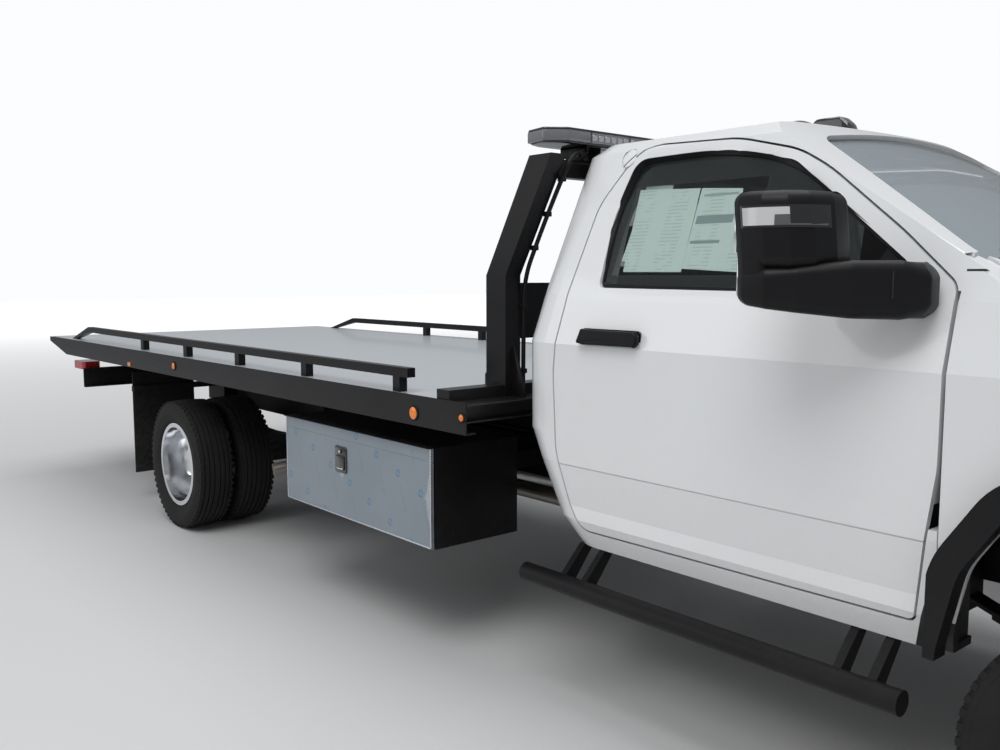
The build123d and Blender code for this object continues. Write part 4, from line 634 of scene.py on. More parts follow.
def turned(made, profile, centre, steps=72):
    """A profile of (across, radius) spun round an axle line along Y."""
    centre = Vector(centre)
    points = [made.verts.new(centre + Vector((radius, across, 0))) for across, radius in profile]
    edges = [made.edges.new((a, b)) for a, b in zip(points, points[1:])]
    bmesh.ops.spin(
        made,
        geom=points + edges,
        cent=centre,
        axis=(0, 1, 0),
        angle=2 * pi,
        steps=steps,
        use_merge=True,
    )


def turned_along_x(made, profile, centre, way, middle=0.0):
    """A turned shape round a line along X, forwards where way is 1. Middle is the radius of a ball in it."""
    shape = bmesh.new()
    turned(shape, profile, centre, 40)
    if middle:
        ball(shape, Vector(centre) + Vector((0, 0.004, 0)), middle)
    swing = Matrix.Rotation(way * -pi / 2, 4, "Z")
    swing = Matrix.Translation(centre) @ swing @ Matrix.Translation(-Vector(centre))
    bmesh.ops.transform(shape, matrix=swing, verts=shape.verts)
    mesh = bpy.data.meshes.new("turned")
    shape.to_mesh(mesh)
    shape.free()
    made.from_mesh(mesh)
    bpy.data.meshes.remove(mesh)


def rounded(points, radius, steps=5):
    """The outline with a curve in place of each corner."""
    outline = []
    count = len(points)
    for number, point in enumerate(points):
        here = Vector(point)
        before = (Vector(points[number - 1]) - here).normalized()
        after = (Vector(points[(number + 1) % count]) - here).normalized()
        turn = before.dot(after)
        reach = radius / max(0.05, (1 - turn) ** 0.5 / (1 + turn + 1e-9) ** 0.5)
        start = here + before * reach
        end = here + after * reach
        for step in range(steps + 1):
            t = step / steps
            outline.append(tuple((1 - t) ** 2 * start + 2 * t * (1 - t) * here + t * t * end))
    return outline


def in_scene(name, data):
    """An object of the data, put into the scene."""
    shown = bpy.data.objects.new(name, data)
    bpy.context.scene.collection.objects.link(shown)
    return shown


def piece(name, made, finish, body, smooth=35, replaced=()):
    """Closes a bmesh into an object that rides on a CAD body."""
    bmesh.ops.recalc_face_normals(made, faces=made.faces)
    mesh = bpy.data.meshes.new(name)
    made.to_mesh(mesh)
    made.free()
    mesh.materials.append(finish)
    mesh.shade_smooth()
    mesh.set_sharp_from_angle(angle=radians(smooth))
    shown = in_scene(name, mesh)
    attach(shown, body)
    if replaced:
        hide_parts(*replaced)
    return shown


# Rays that lay trim: where they start, and how deep a hit is given up for the nearest place of the skin
OUTSIDE_Y = 2.0
INNER_Y = 0.5
CAB_SKIN_Y = 0.9


def skin_of(*names):
    """A tree of the named nodes' faces, for laying trim on their surface."""
    made = bmesh.new()
    for name in names:
        made.from_mesh(nodes[name].data)
    tree = BVHTree.FromBMesh(made)
    made.free()
    return tree


def laid(tree, points, side, lift):
    """Points (x, z) thrown onto a side surface from outside, and lifted off it."""
    found = []
    for x, z in points:
        hit = tree.ray_cast(Vector((x, side * OUTSIDE_Y, z)), Vector((0, -side, 0)))[0]
        if not hit or abs(hit.y) < INNER_Y:
            hit = tree.find_nearest(Vector((x, side * CAB_SKIN_Y, z)))[0]
        found.append(Vector((x, hit.y + side * lift, z)))
    return found


def dish_terms(x, z):
    """What a shallow dish is made of: its height, its two slopes and its hollow."""
    return 1, x, z, x * x + z * z


def corner_filler(side, word):
    """Skin over the swing relief behind the door's upper rear corner; it swings with the door."""
    tree = skin_of("cab_shell", f"door_{word}")
    turns = [pi * n / 24 for n in range(48)]
    spots = []
    for reach in (0.037, 0.045, 0.054):
        around = [(CORNER_X + reach * cos(turn), CORNER_Z + reach * sin(turn)) for turn in turns]
        spots += laid(tree, around, side, 0.0)
    for limit in (0.004, 0.0015, 0.0008):
        table = numpy.array([dish_terms(spot.x - CORNER_X, spot.z - CORNER_Z) for spot in spots])
        deep = numpy.array([spot.y for spot in spots])
        skin = numpy.linalg.lstsq(table, deep, rcond=None)[0]
        gaps = abs(table @ skin - deep)
        spots = [spot for spot, gap in zip(spots, gaps) if gap < limit]
    made = bmesh.new()
    bmesh.ops.create_circle(made, cap_ends=True, segments=40, radius=CORNER_RADIUS)
    bmesh.ops.poke(made, faces=made.faces[:])
    bmesh.ops.subdivide_edges(made, edges=made.edges[:], cuts=3, use_grid_fill=True)
    for vertex in made.verts:
        x, z = vertex.co.x, vertex.co.y
        y = float(skin @ dish_terms(x, z)) - side * 0.0006
        vertex.co = (x + CORNER_X, y, z + CORNER_Z)
    bmesh.ops.solidify(made, geom=made.faces[:], thickness=0.003)
    piece(f"door_corner_{word}", made, corner_paint, f"{word}_door", 60)


def between_rings(made, outer, inner):
    """A band of faces between two rings with the same number of points."""
    rings = []
    for ring in (outer, inner):
        points = [made.verts.new(point) for point in ring]
        rings.append([made.edges.new((a, b)) for a, b in zip(points, points[1:] + points[:1])])
    return bmesh.ops.bridge_loops(made, edges=rings[0] + rings[1])["faces"]


# Tow mirror: it stands for the plain fittings of each door

# Outlines from above: X, distance from the middle plane, from the inner back edge round
head_plan = [
    (2.440, 1.092),
    (2.436, 1.316),
    (2.466, 1.336),
    (2.530, 1.330),
    (2.590, 1.300),
    (2.630, 1.245),
    (2.646, 1.170),
    (2.643, 1.092),
]
arm_plan = [
    (2.440, 1.120),
    (2.436, 1.316),
    (2.466, 1.336),
    (2.530, 1.331),
    (2.600, 1.284),
    (2.700, 1.188),
    (2.790, 1.094),
    (2.832, 1.042),
    (2.828, 0.985),
    (2.790, 0.950),
    (2.690, 1.020),
    (2.560, 1.110),
]
neck_plan = [
    (2.446, 1.130),
    (2.4375, 1.315),
    (2.467, 1.3345),
    (2.516, 1.3300),
    (2.530, 1.300),
    (2.530, 1.130),
]
# Signal lamp: it follows the head's outer corner
signal_run = [(2.474, 1.3370), (2.530, 1.3325), (2.589, 1.3030), (2.626, 1.2550), (2.6405, 1.2000)]
# Lowest and highest Z of the mirror's parts, and the height above which they lean back
MIRROR_HEAD_Z = (1.606, 1.808)
MIRROR_NECK_Z = (1.560, 1.660)
MIRROR_ARM_Z = (1.476, 1.612)
MIRROR_LEAN_Z = 1.62


def level_edges(made):
    return [edge for edge in made.edges if abs(edge.verts[0].co.z - edge.verts[1].co.z) < 1e-6]


def plan_block(points, side, low, high, soft, corner=0.014):
    """A block over a plan outline, its top and bottom rims rolled over."""
    made = bmesh.new()
    slab(made, rounded([(x, side * y) for x, y in points], corner, 4), "plan", low, high)
    round_edges(made, level_edges(made), soft, 6)
    return made


def lean_back(made):
    for vertex in made.verts:
        vertex.co.x -= max(0, vertex.co.z - MIRROR_LEAN_Z) * 0.10


def mirror_head(side, word):
    head = plan_block(head_plan, side, *MIRROR_HEAD_Z, 0.034)
    lean_back(head)
    body = f"{word}_door"
    piece(f"mirror_head_{word}", head, grain_plastic, body, 60, [f"door_fittings_{word}"])
    neck = plan_block(neck_plan, side, *MIRROR_NECK_Z, 0.002)
    lean_back(neck)
    piece(f"mirror_neck_{word}", neck, grain_plastic, body, 60)


def mirror_arm(side, word):
    body = f"{word}_door"
    arm = plan_block(arm_plan, side, *MIRROR_ARM_Z, 0.030, 0.018)
    for vertex in arm.verts:
        x, z = vertex.co.x, vertex.co.z
        if z < 1.54:
            vertex.co.z += max(0, min(1, (2.70 - x) / 0.25)) * 0.036
        else:
            vertex.co.z += max(0, min(1, (x - 2.56) / 0.12)) * 0.016
        end = max(0, min(1, (x - 2.765) / 0.075))
        vertex.co.z = 1.545 + (vertex.co.z - 1.545) * (1 - end * end * 0.45)
    piece(f"mirror_arm_{word}", arm, grain_plastic, body, 60)
    seam = bmesh.new()
    upright = [(2.768, 1.1195), (2.771, 1.1165), (2.766, 1.1105), (2.763, 1.1135)]
    slab(seam, [(x, side * y) for x, y in upright], "plan", 1.530, 1.600)
    piece(f"mirror_seam_{word}", seam, gloss_black, body, 40)


def mirror_signal(side, word):
    body = f"{word}_door"
    lens = bmesh.new()
    run = [(x, side * y) for x, y in signal_run]
    back = [(x - 0.010, side * (y - 0.010)) for x, y in signal_run]
    slab(lens, run + back[::-1], "plan", 1.717, 1.763)
    for vertex in lens.verts:
        upper_tip = vertex.co.z > 1.74 and vertex.co.x > 2.62
        vertex.co.x += 0.002 - 0.0096 * upper_tip
    lean_back(lens)
    piece(f"mirror_signal_{word}", lens, signal_lens, body, 50)
    surround = bmesh.new()
    wide = [(x + 0.0010 * (x > 2.5), side * (y - 0.0010)) for x, y in signal_run]
    wide[0] = (2.468, side * 1.3362)
    wide[-1] = (2.6435, side * 1.1880)
    slab(surround, wide + back[::-1], "plan", 1.711, 1.769)
    for vertex in surround.verts:
        vertex.co.x += 0.001
    lean_back(surround)
    piece(f"mirror_surround_{word}", surround, gloss_black, body, 50)


def mirror_glass(side, word):
    view = bmesh.new()
    boxy(view, (2.4115, side * 1.115, 1.650), (2.4215, side * 1.300, 1.785), 0.003)
    boxy(view, (2.4265, side * 1.170, 1.535), (2.4365, side * 1.305, 1.630), 0.003)
    piece(f"mirror_glass_{word}", view, chrome, f"{word}_door", 40)


# Pull handle, seen from the side: X, Z
HANDLE_Z = 1.372
handle_grip = [
    (1.556, 1.352),
    (1.585, 1.346),
    (1.830, 1.348),
    (1.842, 1.362),
    (1.842, 1.386),
    (1.830, 1.400),
    (1.580, 1.400),
]


def pull_handle(side, word):
    tree = skin_of(f"door_{word}")
    made = bmesh.new()
    skin = abs(laid(tree, [(1.70, HANDLE_Z)], side, 0)[0].y)
    grip = rounded(handle_grip, 0.008, 3)
    slab(made, grip, "side", side * (skin + 0.010), side * (skin + 0.034), 0.007, 3)
    for back, front in ((1.575, 1.625), (1.785, 1.832)):
        boxy(made, (back, side * (skin - 0.004), 1.355), (front, side * (skin + 0.014), 1.392), 0.004)
    piece(f"handle_{word}", made, grain_plastic, f"{word}_door", 40)
    cup = bmesh.new()
    edge = rounded(oblong(1.560, 1.838, 1.345, 1.403), 0.02)
    slab(cup, edge, "side", side * (skin - 0.006), side * (skin + 0.002))
    piece(f"handle_cup_{word}", cup, gloss_black, f"{word}_door", 40)


# Side window: black seal, sail at its front corner, and blank papers. X, Z and radius of each corner
window_outline = [
    (1.592, 1.546, 0.025),
    (2.780, 1.536, 0.020),
    (2.700, 1.632, 0.030),
    (2.270, 1.948, 0.120),
    (2.000, 2.008, 0.200),
    (1.620, 2.003, 0.050),
    (1.568, 1.800, 0.150),
]


def window_ring(inset):
    """The window outline with rounded corners, drawn in towards its middle."""
    middle = Vector((2.10, 1.76))
    points = []
    count = len(window_outline)
    for number, (x, z, radius) in enumerate(window_outline):
        here = Vector((x, z))
        before = Vector(window_outline[number - 1][:2])
        after = Vector(window_outline[(number + 1) % count][:2])
        to_before = (before - here).normalized() * min(radius, (before - here).length * 0.45)
        to_after = (after - here).normalized() * min(radius, (after - here).length * 0.45)
        start, end = here + to_before, here + to_after
        for step in range(7):
            t = step / 6
            points.append((1 - t) ** 2 * start + 2 * t * (1 - t) * here + t * t * end)
        far = after + (here - after).normalized() * window_outline[(number + 1) % count][2]
        for step in range(1, 12):
            points.append(end.lerp(far, step / 12))
    if not inset:
        return [tuple(point) for point in points]
    drawn = []
    for number, point in enumerate(points):
        along = points[(number + 1) % len(points)] - points[number - 1]
        inward = Vector((-along.y, along.x)).normalized()
        if inward.dot(middle - point) < 0:
            inward = -inward
        drawn.append(tuple(point + inward * inset))
    return drawn


def window_trim(side, word):
    tree = skin_of(f"door_glass_{word}")
    made = bmesh.new()
    outer = laid(tree, window_ring(-0.004), side, 0.0085)
    inner = laid(tree, window_ring(0.010), side, 0.0065)
    deep = laid(tree, window_ring(0.014), side, -0.002)
    between_rings(made, outer, inner)
    between_rings(made, inner, deep)
    piece(f"window_seal_{word}", made, grain_plastic, f"{word}_door", 60)
    bar = bmesh.new()
    corners = [(2.548, 1.740), (2.640, 1.672), (2.762, 1.556), (2.772, 1.546), (2.570, 1.546)]
    face = [bar.verts.new(point) for point in laid(tree, corners, side, 0.003)]
    bar.faces.new(face)
    bmesh.ops.solidify(bar, geom=bar.faces[:], thickness=0.006)
    piece(f"window_sail_{word}", bar, grain_plastic, f"{word}_door", 40)


# Papers: four corners as X and Z, from the lower back one round, then how far behind the glass
papers = [
    ((1.665, 1.602), (1.924, 1.601), (1.908, 1.885), (1.635, 1.897), 0.011),
    ((1.920, 1.612), (2.150, 1.600), (2.081, 1.873), (1.912, 1.885), 0.013),
    ((1.640, 1.640), (1.800, 1.640), (1.780, 1.905), (1.655, 1.912), 0.015),
]


def window_papers():
    tree = skin_of("door_glass_right")
    made = bmesh.new()
    for first, second, third, fourth, depth in papers:
        grid = bmesh.ops.create_grid(made, x_segments=8, y_segments=8, size=0.5)
        for vertex in grid["verts"]:
            across, up = vertex.co.x + 0.5, vertex.co.y + 0.5
            low = Vector(first).lerp(Vector(second), across)
            high = Vector(fourth).lerp(Vector(third), across)
            x, z = low.lerp(high, up)
            vertex.co = laid(tree, [(x, z)], -1, -depth)[0]
    piece("window_papers", made, paper, "right_door", 80)


for side, word in SIDES:
    mirror_head(side, word)
    mirror_arm(side, word)
    mirror_signal(side, word)
    mirror_glass(side, word)
    pull_handle(side, word)
    window_trim(side, word)
    corner_filler(side, word)
window_papers()

# Past this distance the mirrors are drawn in a little, to stay inside the truck's widest line
MIRROR_DRAWN_FROM = 1.10
for shown in [thing for thing in bpy.data.objects if thing.name.startswith("mirror_")]:
    for vertex in shown.data.vertices:
        past = abs(vertex.co.y) - MIRROR_DRAWN_FROM
        if past > 0:
            vertex.co.y *= (MIRROR_DRAWN_FROM + past * 0.965) / abs(vertex.co.y)


# Tyres with ribs, shoulder blocks and sidewall rings; they stand for the plain CAD tyres
TYRE_RADIUS = 0.405
TYRE_HALF = 0.113
BEAD_RADIUS = 0.264
RIB_EDGES = (-0.078, -0.048, -0.018, 0.018, 0.048, 0.078)
GROOVE_HALF = 0.0045
GROOVE_DEPTH = 0.011
SHOULDER_BLOCKS = 60


def tyre_profile():
    """Section of a tyre from bead to bead, as (across, radius)."""
    wall = [
        (-0.079, 0.246),
        (-0.080, BEAD_RADIUS),
        (-0.098, BEAD_RADIUS + 0.006),
        (-0.106, BEAD_RADIUS + 0.020),
        (-0.104, BEAD_RADIUS + 0.022),
        (-0.112, 0.318),
        (-TYRE_HALF, 0.334),
        (-0.112, 0.350),
        (-0.108, 0.362),
        (-0.109, 0.366),
        (-0.104, 0.382),
        (-0.100, 0.388),
    ]
    tread = [(-0.094, TYRE_RADIUS - 0.007)]
    for edge in RIB_EDGES:
        top = TYRE_RADIUS - 0.0015 - 0.5 * edge * edge
        tread += [
            (edge - GROOVE_HALF, top),
            (edge - GROOVE_HALF * 0.5, top - GROOVE_DEPTH),
            (edge + GROOVE_HALF * 0.5, top - GROOVE_DEPTH),
            (edge + GROOVE_HALF, top),
        ]
    tread += [(0.094, TYRE_RADIUS - 0.007)]
    return wall + tread + [(-across, radius) for across, radius in reversed(wall)]


def tyre(made, centre):
    turned(made, tyre_profile(), centre, 96)
    for number in range(SHOULDER_BLOCKS):
        turn = Matrix.Translation(centre) @ Matrix.Rotation(2 * pi * number / SHOULDER_BLOCKS, 4, "Y")
        for edge in (-1, 1):
            boxy(made, (-0.011, edge * 0.086, 0.382), (0.011, edge * 0.1045, 0.3985), placing=turn)


# Distances of the tyres' middles from the middle plane
FRONT_TYRE_Y = 0.935
REAR_TYRES_Y = (0.801, 1.073)


def tyre_set(node, body, axle, middles):
    made = bmesh.new()
    for middle in middles:
        tyre(made, axle + Vector((0, middle, 0)))
    piece(f"treaded_{node}", made, rubber, body, 28, [node])


def tyres():
    for side, word in SIDES:
        tyre_set(f"front_tyre_{word}", f"{word}_front_wheel", FRONT_AXLE, [side * FRONT_TYRE_Y])
        rear = [side * y for y in REAR_TYRES_Y]
        tyre_set(f"rear_tyres_{word}", f"{word}_rear_wheels", REAR_AXLE, rear)


# Wheel dressing: nuts, hub cover and hand holes

# Outer face of each disc, as its distance from the middle plane
FRONT_DISC_Y = FRONT_TYRE_Y + 0.1362
REAR_DISC_Y = 0.9492
NUT_COUNT = 8
NUT_CIRCLE = 0.1125
HOLE_COUNT = 8
HOLE_CIRCLE = 0.178


def wheel_face(name, body, axle, face_y, side):
    """Nuts and a hub cover on a disc face that looks outwards."""
    made = bmesh.new()
    centre = axle + Vector((0, face_y, 0))
    for number in range(NUT_COUNT):
        turn = 2 * pi * (number + 0.5) / NUT_COUNT
        spot = centre + Vector((cos(turn), 0, sin(turn))) * NUT_CIRCLE
        rod(made, spot, spot + Vector((0, side * 0.010, 0)), 0.021, 0.019, 20)
        rod(made, spot, spot + Vector((0, side * 0.030, 0)), 0.0165, 0.0165, 6)
        rod(made, spot, spot + Vector((0, side * 0.036, 0)), 0.009, 0.008, 12)
    cover = [(0, 0.082), (0.012, 0.082), (0.020, 0.076), (0.060, 0.070), (0.072, 0.060), (0.075, 0)]
    turned(made, [(side * across, radius) for across, radius in cover], centre, 48)
    piece(name, made, wheel_polish, body, 35)
    holes = bmesh.new()
    for number in range(HOLE_COUNT):
        turn = 2 * pi * number / HOLE_COUNT
        spot = centre + Vector((cos(turn), 0, sin(turn))) * HOLE_CIRCLE
        rod(holes, spot - Vector((0, side * 0.002, 0)), spot + Vector((0, side * 0.0012, 0)), 0.024)
    piece(f"{name}_hand_holes", holes, gloss_black, body, 35)


def wheel_faces():
    for side, word in SIDES:
        wheel_face(f"front_hub_{word}", f"{word}_front_wheel", FRONT_AXLE, side * FRONT_DISC_Y, side)
        wheel_face(f"rear_hub_{word}", f"{word}_rear_wheels", REAR_AXLE, side * REAR_DISC_Y, side)


# Toolbox dressing: door rim, crease, paddle latch, lock, bottom hinge, drip edge and bolts
BOX_LOW_X = -0.327
BOX_HIGH_X = 0.900
BOX_DOOR_LOW = 0.478
BOX_DOOR_HIGH = 0.890
BOX_FACE = 1.192
LATCH_X = 0.200
LATCH_Z = 0.745
LATCH_BUTTON_Z = 0.783
HINGE_KNUCKLES = 18
BOLT_ROWS_Y = (0.78, 1.08)
BOLT_ROWS_Z = (0.52, 0.68, 0.84)


def toolbox_trim(side, word):
    body = f"{word}_toolbox_door"
    rim = bmesh.new()
    face = side * BOX_FACE
    back = side * (BOX_FACE - 0.004)
    front = side * (BOX_FACE + 0.0025)
    outline = oblong(BOX_LOW_X + 0.004, BOX_HIGH_X - 0.004, BOX_DOOR_LOW, BOX_DOOR_HIGH)
    for start, end in zip(outline, outline[1:] + outline[:1]):
        low = (min(start[0], end[0]) - 0.003, back, min(start[1], end[1]) - 0.003)
        high = (max(start[0], end[0]) + 0.003, front, max(start[1], end[1]) + 0.003)
        boxy(rim, low, high, 0.001)
    piece(f"box_door_rim_{word}", rim, box_steel, body, 30)
    crease = bmesh.new()
    low = (BOX_LOW_X + 0.03, back, BOX_DOOR_HIGH - 0.052)
    high = (BOX_HIGH_X - 0.03, side * (BOX_FACE + 0.001), BOX_DOOR_HIGH - 0.050)
    boxy(crease, low, high, 0.0005)
    piece(f"box_door_crease_{word}", crease, film_edge, body, 30)
    latch = bmesh.new()
    plate = rounded(oblong(LATCH_X - 0.050, LATCH_X + 0.050, LATCH_Z - 0.062, LATCH_Z + 0.062), 0.014)
    slab(latch, plate, "side", back, side * (BOX_FACE + 0.005), 0.0015)
    paddle = rounded(oblong(LATCH_X - 0.036, LATCH_X + 0.036, LATCH_Z - 0.048, LATCH_Z + 0.020), 0.010)
    slab(latch, paddle, "side", face, side * (BOX_FACE + 0.011), 0.003)
    button = Vector((LATCH_X, face, LATCH_BUTTON_Z))
    rod(latch, button, button + Vector((0, side * 0.010, 0)), 0.011, 0.010)
    piece(f"box_latch_{word}", latch, gloss_black, body, 35)
    lock = bmesh.new()
    rod(lock, button, button + Vector((0, side * 0.0112, 0)), 0.0065, sides=20)
    low = (LATCH_X - 0.026, face, LATCH_Z - 0.044)
    boxy(lock, low, (LATCH_X + 0.026, side * (BOX_FACE + 0.0118), LATCH_Z - 0.038), 0.001)
    piece(f"box_lock_{word}", lock, chrome, body, 35)
    hinge = bmesh.new()
    span = (BOX_HIGH_X - BOX_LOW_X - 0.08) / HINGE_KNUCKLES
    for number in range(HINGE_KNUCKLES):
        start = Vector((BOX_LOW_X + 0.04 + number * span, side * 1.185, BOX_DOOR_LOW))
        rod(hinge, start, start + Vector((span - 0.003, 0, 0)), 0.0068, sides=16)
    piece(f"box_hinge_{word}", hinge, box_steel, body, 30)


def toolbox_gutter(side, word):
    made = bmesh.new()
    low = (BOX_LOW_X, side * 1.150, BOX_DOOR_HIGH + 0.001)
    boxy(made, low, (BOX_HIGH_X, side * 1.206, BOX_DOOR_HIGH + 0.005), 0.001)
    piece(f"box_drip_edge_{word}", made, deck_black, "chassis", 30)
    bolts = bmesh.new()
    for y in BOLT_ROWS_Y:
        for z in BOLT_ROWS_Z:
            rod(bolts, (BOX_HIGH_X, side * y, z), (BOX_HIGH_X + 0.005, side * y, z), 0.009, sides=6)
    piece(f"box_bolts_{word}", bolts, frame_black, "chassis", 30)


# Round lamps on the deck's sides: X, Z, radius
deck_lamps = [(0.822, 1.033, 0.026), (1.139, 1.049, 0.014), (-1.704, 1.042, 0.021)]
DECK_HALF = 1.219


def side_lamps(side, word):
    grommets = bmesh.new()
    lenses = bmesh.new()
    for x, z, radius in deck_lamps:
        face = side * DECK_HALF
        ring = [(0, radius + 0.007), (0.004, radius + 0.006), (0.006, radius + 0.002)]
        ring += [(0.005, radius - 0.002), (0, radius - 0.002)]
        turned(grommets, [(side * a, r) for a, r in ring], (x, face, z), 40)
        dome = [(0, radius), (0.005, radius), (0.0085, radius * 0.8), (0.0105, radius * 0.45), (0.011, 0)]
        turned(lenses, [(side * a, r) for a, r in dome], (x, face, z), 40)
    boxy(lenses, (-2.515, side * DECK_HALF, 0.985), (-2.463, side * (DECK_HALF + 0.003), 1.011), 0.001)
    piece(f"lamp_rims_{word}", grommets, flap_rubber, "deck", 35)
    piece(f"lamp_lenses_{word}", lenses, amber_lens, "deck", 35)


# Light bar: black lid and base, grey lens over rows of reflectors, and thin dividers
BEACON_HALF = 0.885
BEACON_LOW = 2.106
BEACON_HIGH = 2.160
BEACON_X = 1.181
BEACON_DEEP = 0.104
BEACON_MODULE = 0.226


def beacon_outline(inset):
    back = BEACON_X - BEACON_DEEP + inset
    front = BEACON_X + BEACON_DEEP - inset
    half = BEACON_HALF - inset
    right = [(back, -half + 0.090), (back + 0.028, -half + 0.022)]
    right += [(front - 0.060, -half), (front, -half + 0.080)]
    return right + [(x, -y) for x, y in reversed(right)]


def beacon_layer(made, inset, low, high, soft, steps=2):
    slab(made, rounded(beacon_outline(inset), 0.02, 4), "plan", low, high, soft, steps)


def light_bar():
    shell = bmesh.new()
    beacon_layer(shell, 0.002, BEACON_LOW + 0.004, BEACON_HIGH - 0.008, 0.004)
    piece("light_bar_lens", shell, beacon_grey, "deck", 40, ["light_bar"])
    lid = bmesh.new()
    beacon_layer(lid, 0.004, BEACON_HIGH - 0.012, BEACON_HIGH + 0.002, 0.006, 3)
    beacon_layer(lid, 0.012, BEACON_LOW - 0.002, BEACON_LOW + 0.010, 0.003)
    piece("light_bar_lid", lid, gloss_black, "deck", 40)
    dividers = bmesh.new()
    for number in range(-3, 4):
        y = number * BEACON_MODULE
        low = (BEACON_X - BEACON_DEEP + 0.001, y - 0.0025, BEACON_LOW + 0.004)
        boxy(dividers, low, (BEACON_X + BEACON_DEEP - 0.001, y + 0.0025, BEACON_HIGH - 0.006), 0.001)
    piece("light_bar_dividers", dividers, gloss_black, "deck", 40)
    reflectors = bmesh.new()
    for number in range(-3, 3):
        for step in range(6):
            y = number * BEACON_MODULE + 0.022 + step * 0.0365
            for front in (-1, 1):
                face = BEACON_X + front * (BEACON_DEEP - 0.0018)
                low = (face - 0.0006, y - 0.013, BEACON_LOW + 0.014)
                boxy(reflectors, low, (face + 0.0006, y + 0.013, BEACON_HIGH - 0.018), 0.0003, 1)
    piece("light_bar_reflectors", reflectors, chrome, "deck", 40)
    feet = bmesh.new()
    for side, word in SIDES:
        cheek = [(1.110, 2.070), (1.180, 2.045), (1.240, 2.045)]
        cheek += [(1.262, 2.075), (1.262, 2.106), (1.110, 2.106)]
        for y in (0.600, 0.674):
            slab(feet, cheek, "side", side * y, side * (y + 0.006), 0.001)
        boxy(feet, (1.110, side * 0.600, 2.098), (1.265, side * 0.680, 2.106), 0.001)
        boxy(feet, (1.172, side * 0.607, 2.045), (1.222, side * 0.673, 2.104), 0.002)
        rod(feet, (1.215, side * 0.594, 2.070), (1.215, side * 0.686, 2.070), 0.009, sides=16)
    piece("light_bar_feet", feet, deck_black, "deck", 40)


# Wiring: looms clipped along the headboard posts. Route: X, Y off the side, Z
loom_route = [
    (1.062, 0.838, 1.150),
    (1.064, 0.838, 1.350),
    (1.066, 0.840, 1.570),
    (1.150, 0.840, 1.730),
    (1.250, 0.842, 1.900),
    (1.312, 0.835, 2.010),
    (1.290, 0.790, 2.055),
    (1.250, 0.700, 2.085),
    (1.235, 0.640, 2.104),
]


# Clips that hold each loom: X, Z
loom_clips = [(1.063, 1.20), (1.065, 1.46), (1.130, 1.70), (1.205, 1.83), (1.285, 1.96)]


def wire(name, points, radius, finish, body):
    """A fixed wire along given points, made a mesh tube."""
    curve = bpy.data.curves.new(name, "CURVE")
    curve.dimensions = "3D"
    curve.bevel_depth = radius
    curve.bevel_resolution = 3
    curve.use_fill_caps = True
    line = curve.splines.new("NURBS")
    line.points.add(len(points) - 1)
    for point, spot in zip(line.points, points):
        point.co = (*spot, 1)
    line.order_u = 3
    line.use_endpoint_u = True
    holder = bpy.data.objects.new(name + "_line", curve)
    mesh = bpy.data.meshes.new_from_object(holder)
    bpy.data.objects.remove(holder)
    mesh.name = name
    mesh.materials.clear()
    mesh.materials.append(finish)
    mesh.shade_smooth()
    shown = in_scene(name, mesh)
    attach(shown, body)


# Gussets at the foot of each headboard post, seen from the side: X, Z
post_claw = [
    (0.935, 1.100),
    (0.935, 1.172),
    (0.916, 1.180),
    (0.902, 1.150),
    (0.893, 1.187),
    (0.868, 1.180),
    (0.874, 1.100),
]
post_web = [(1.057, 1.100), (1.057, 1.300), (1.066, 1.300), (1.130, 1.145), (1.130, 1.100)]


def post_wiring(side, word):
    route = [(x, side * y, z) for x, y, z in loom_route]
    wire(f"post_loom_{word}", route, 0.009, grain_plastic, "deck")
    clips = bmesh.new()
    for x, z in loom_clips:
        boxy(clips, (x - 0.014, side * 0.826, z - 0.010), (x + 0.012, side * 0.852, z + 0.010), 0.003)
    piece(f"post_clips_{word}", clips, grain_plastic, "deck", 35)
    gusset = bmesh.new()
    slab(gusset, post_claw, "side", side * 0.866, side * 0.880, 0.002)
    slab(gusset, post_web, "side", side * 0.884, side * 0.894, 0.002)
    piece(f"post_gussets_{word}", gusset, deck_black, "deck", 30)


def body_and_deck_trim():
    for side, word in SIDES:
        toolbox_trim(side, word)
        toolbox_gutter(side, word)
        side_lamps(side, word)
        post_wiring(side, word)
    light_bar()
    tyres()
    wheel_faces()


body_and_deck_trim()


# Padded seats: each pad starts small, is blown up as cloth, and then gets its sewn channels
PAD_CELL = 0.010
PAD_FRAMES = 20


def as_shown(thing):
    """A mesh of the object with its modifiers applied."""
    return bpy.data.meshes.new_from_object(thing.evaluated_get(bpy.context.evaluated_depsgraph_get()))


def swollen(made, reach):
    """The bmesh on an even grid, blown up by cloth under pressure and held within a reach."""
    mesh = bpy.data.meshes.new("pad_start")
    made.to_mesh(mesh)
    made.free()
    pad = in_scene("pad_start", mesh)
    scene = bpy.context.scene
    grid = pad.modifiers.new("grid", "REMESH")
    grid.mode = "VOXEL"
    grid.voxel_size = PAD_CELL
    start = as_shown(pad)
    pad.modifiers.clear()
    pad.data = start
    done = start
    air = pad.modifiers.new("air", "CLOTH")
    air.settings.use_pressure = True
    air.settings.uniform_pressure_force = 4
    air.settings.effector_weights.gravity = 0
    air.collision_settings.use_collision = False
    for number in range(1, PAD_FRAMES + 1):
        scene.frame_set(number)
    done = as_shown(pad)
    for after, before in zip(done.vertices, start.vertices):
        way = after.co - before.co
        if way.length > reach:
            after.co = before.co + way.normalized() * reach
    scene.frame_set(1)
    made = bmesh.new()
    made.from_mesh(done)
    bpy.data.objects.remove(pad)
    return made


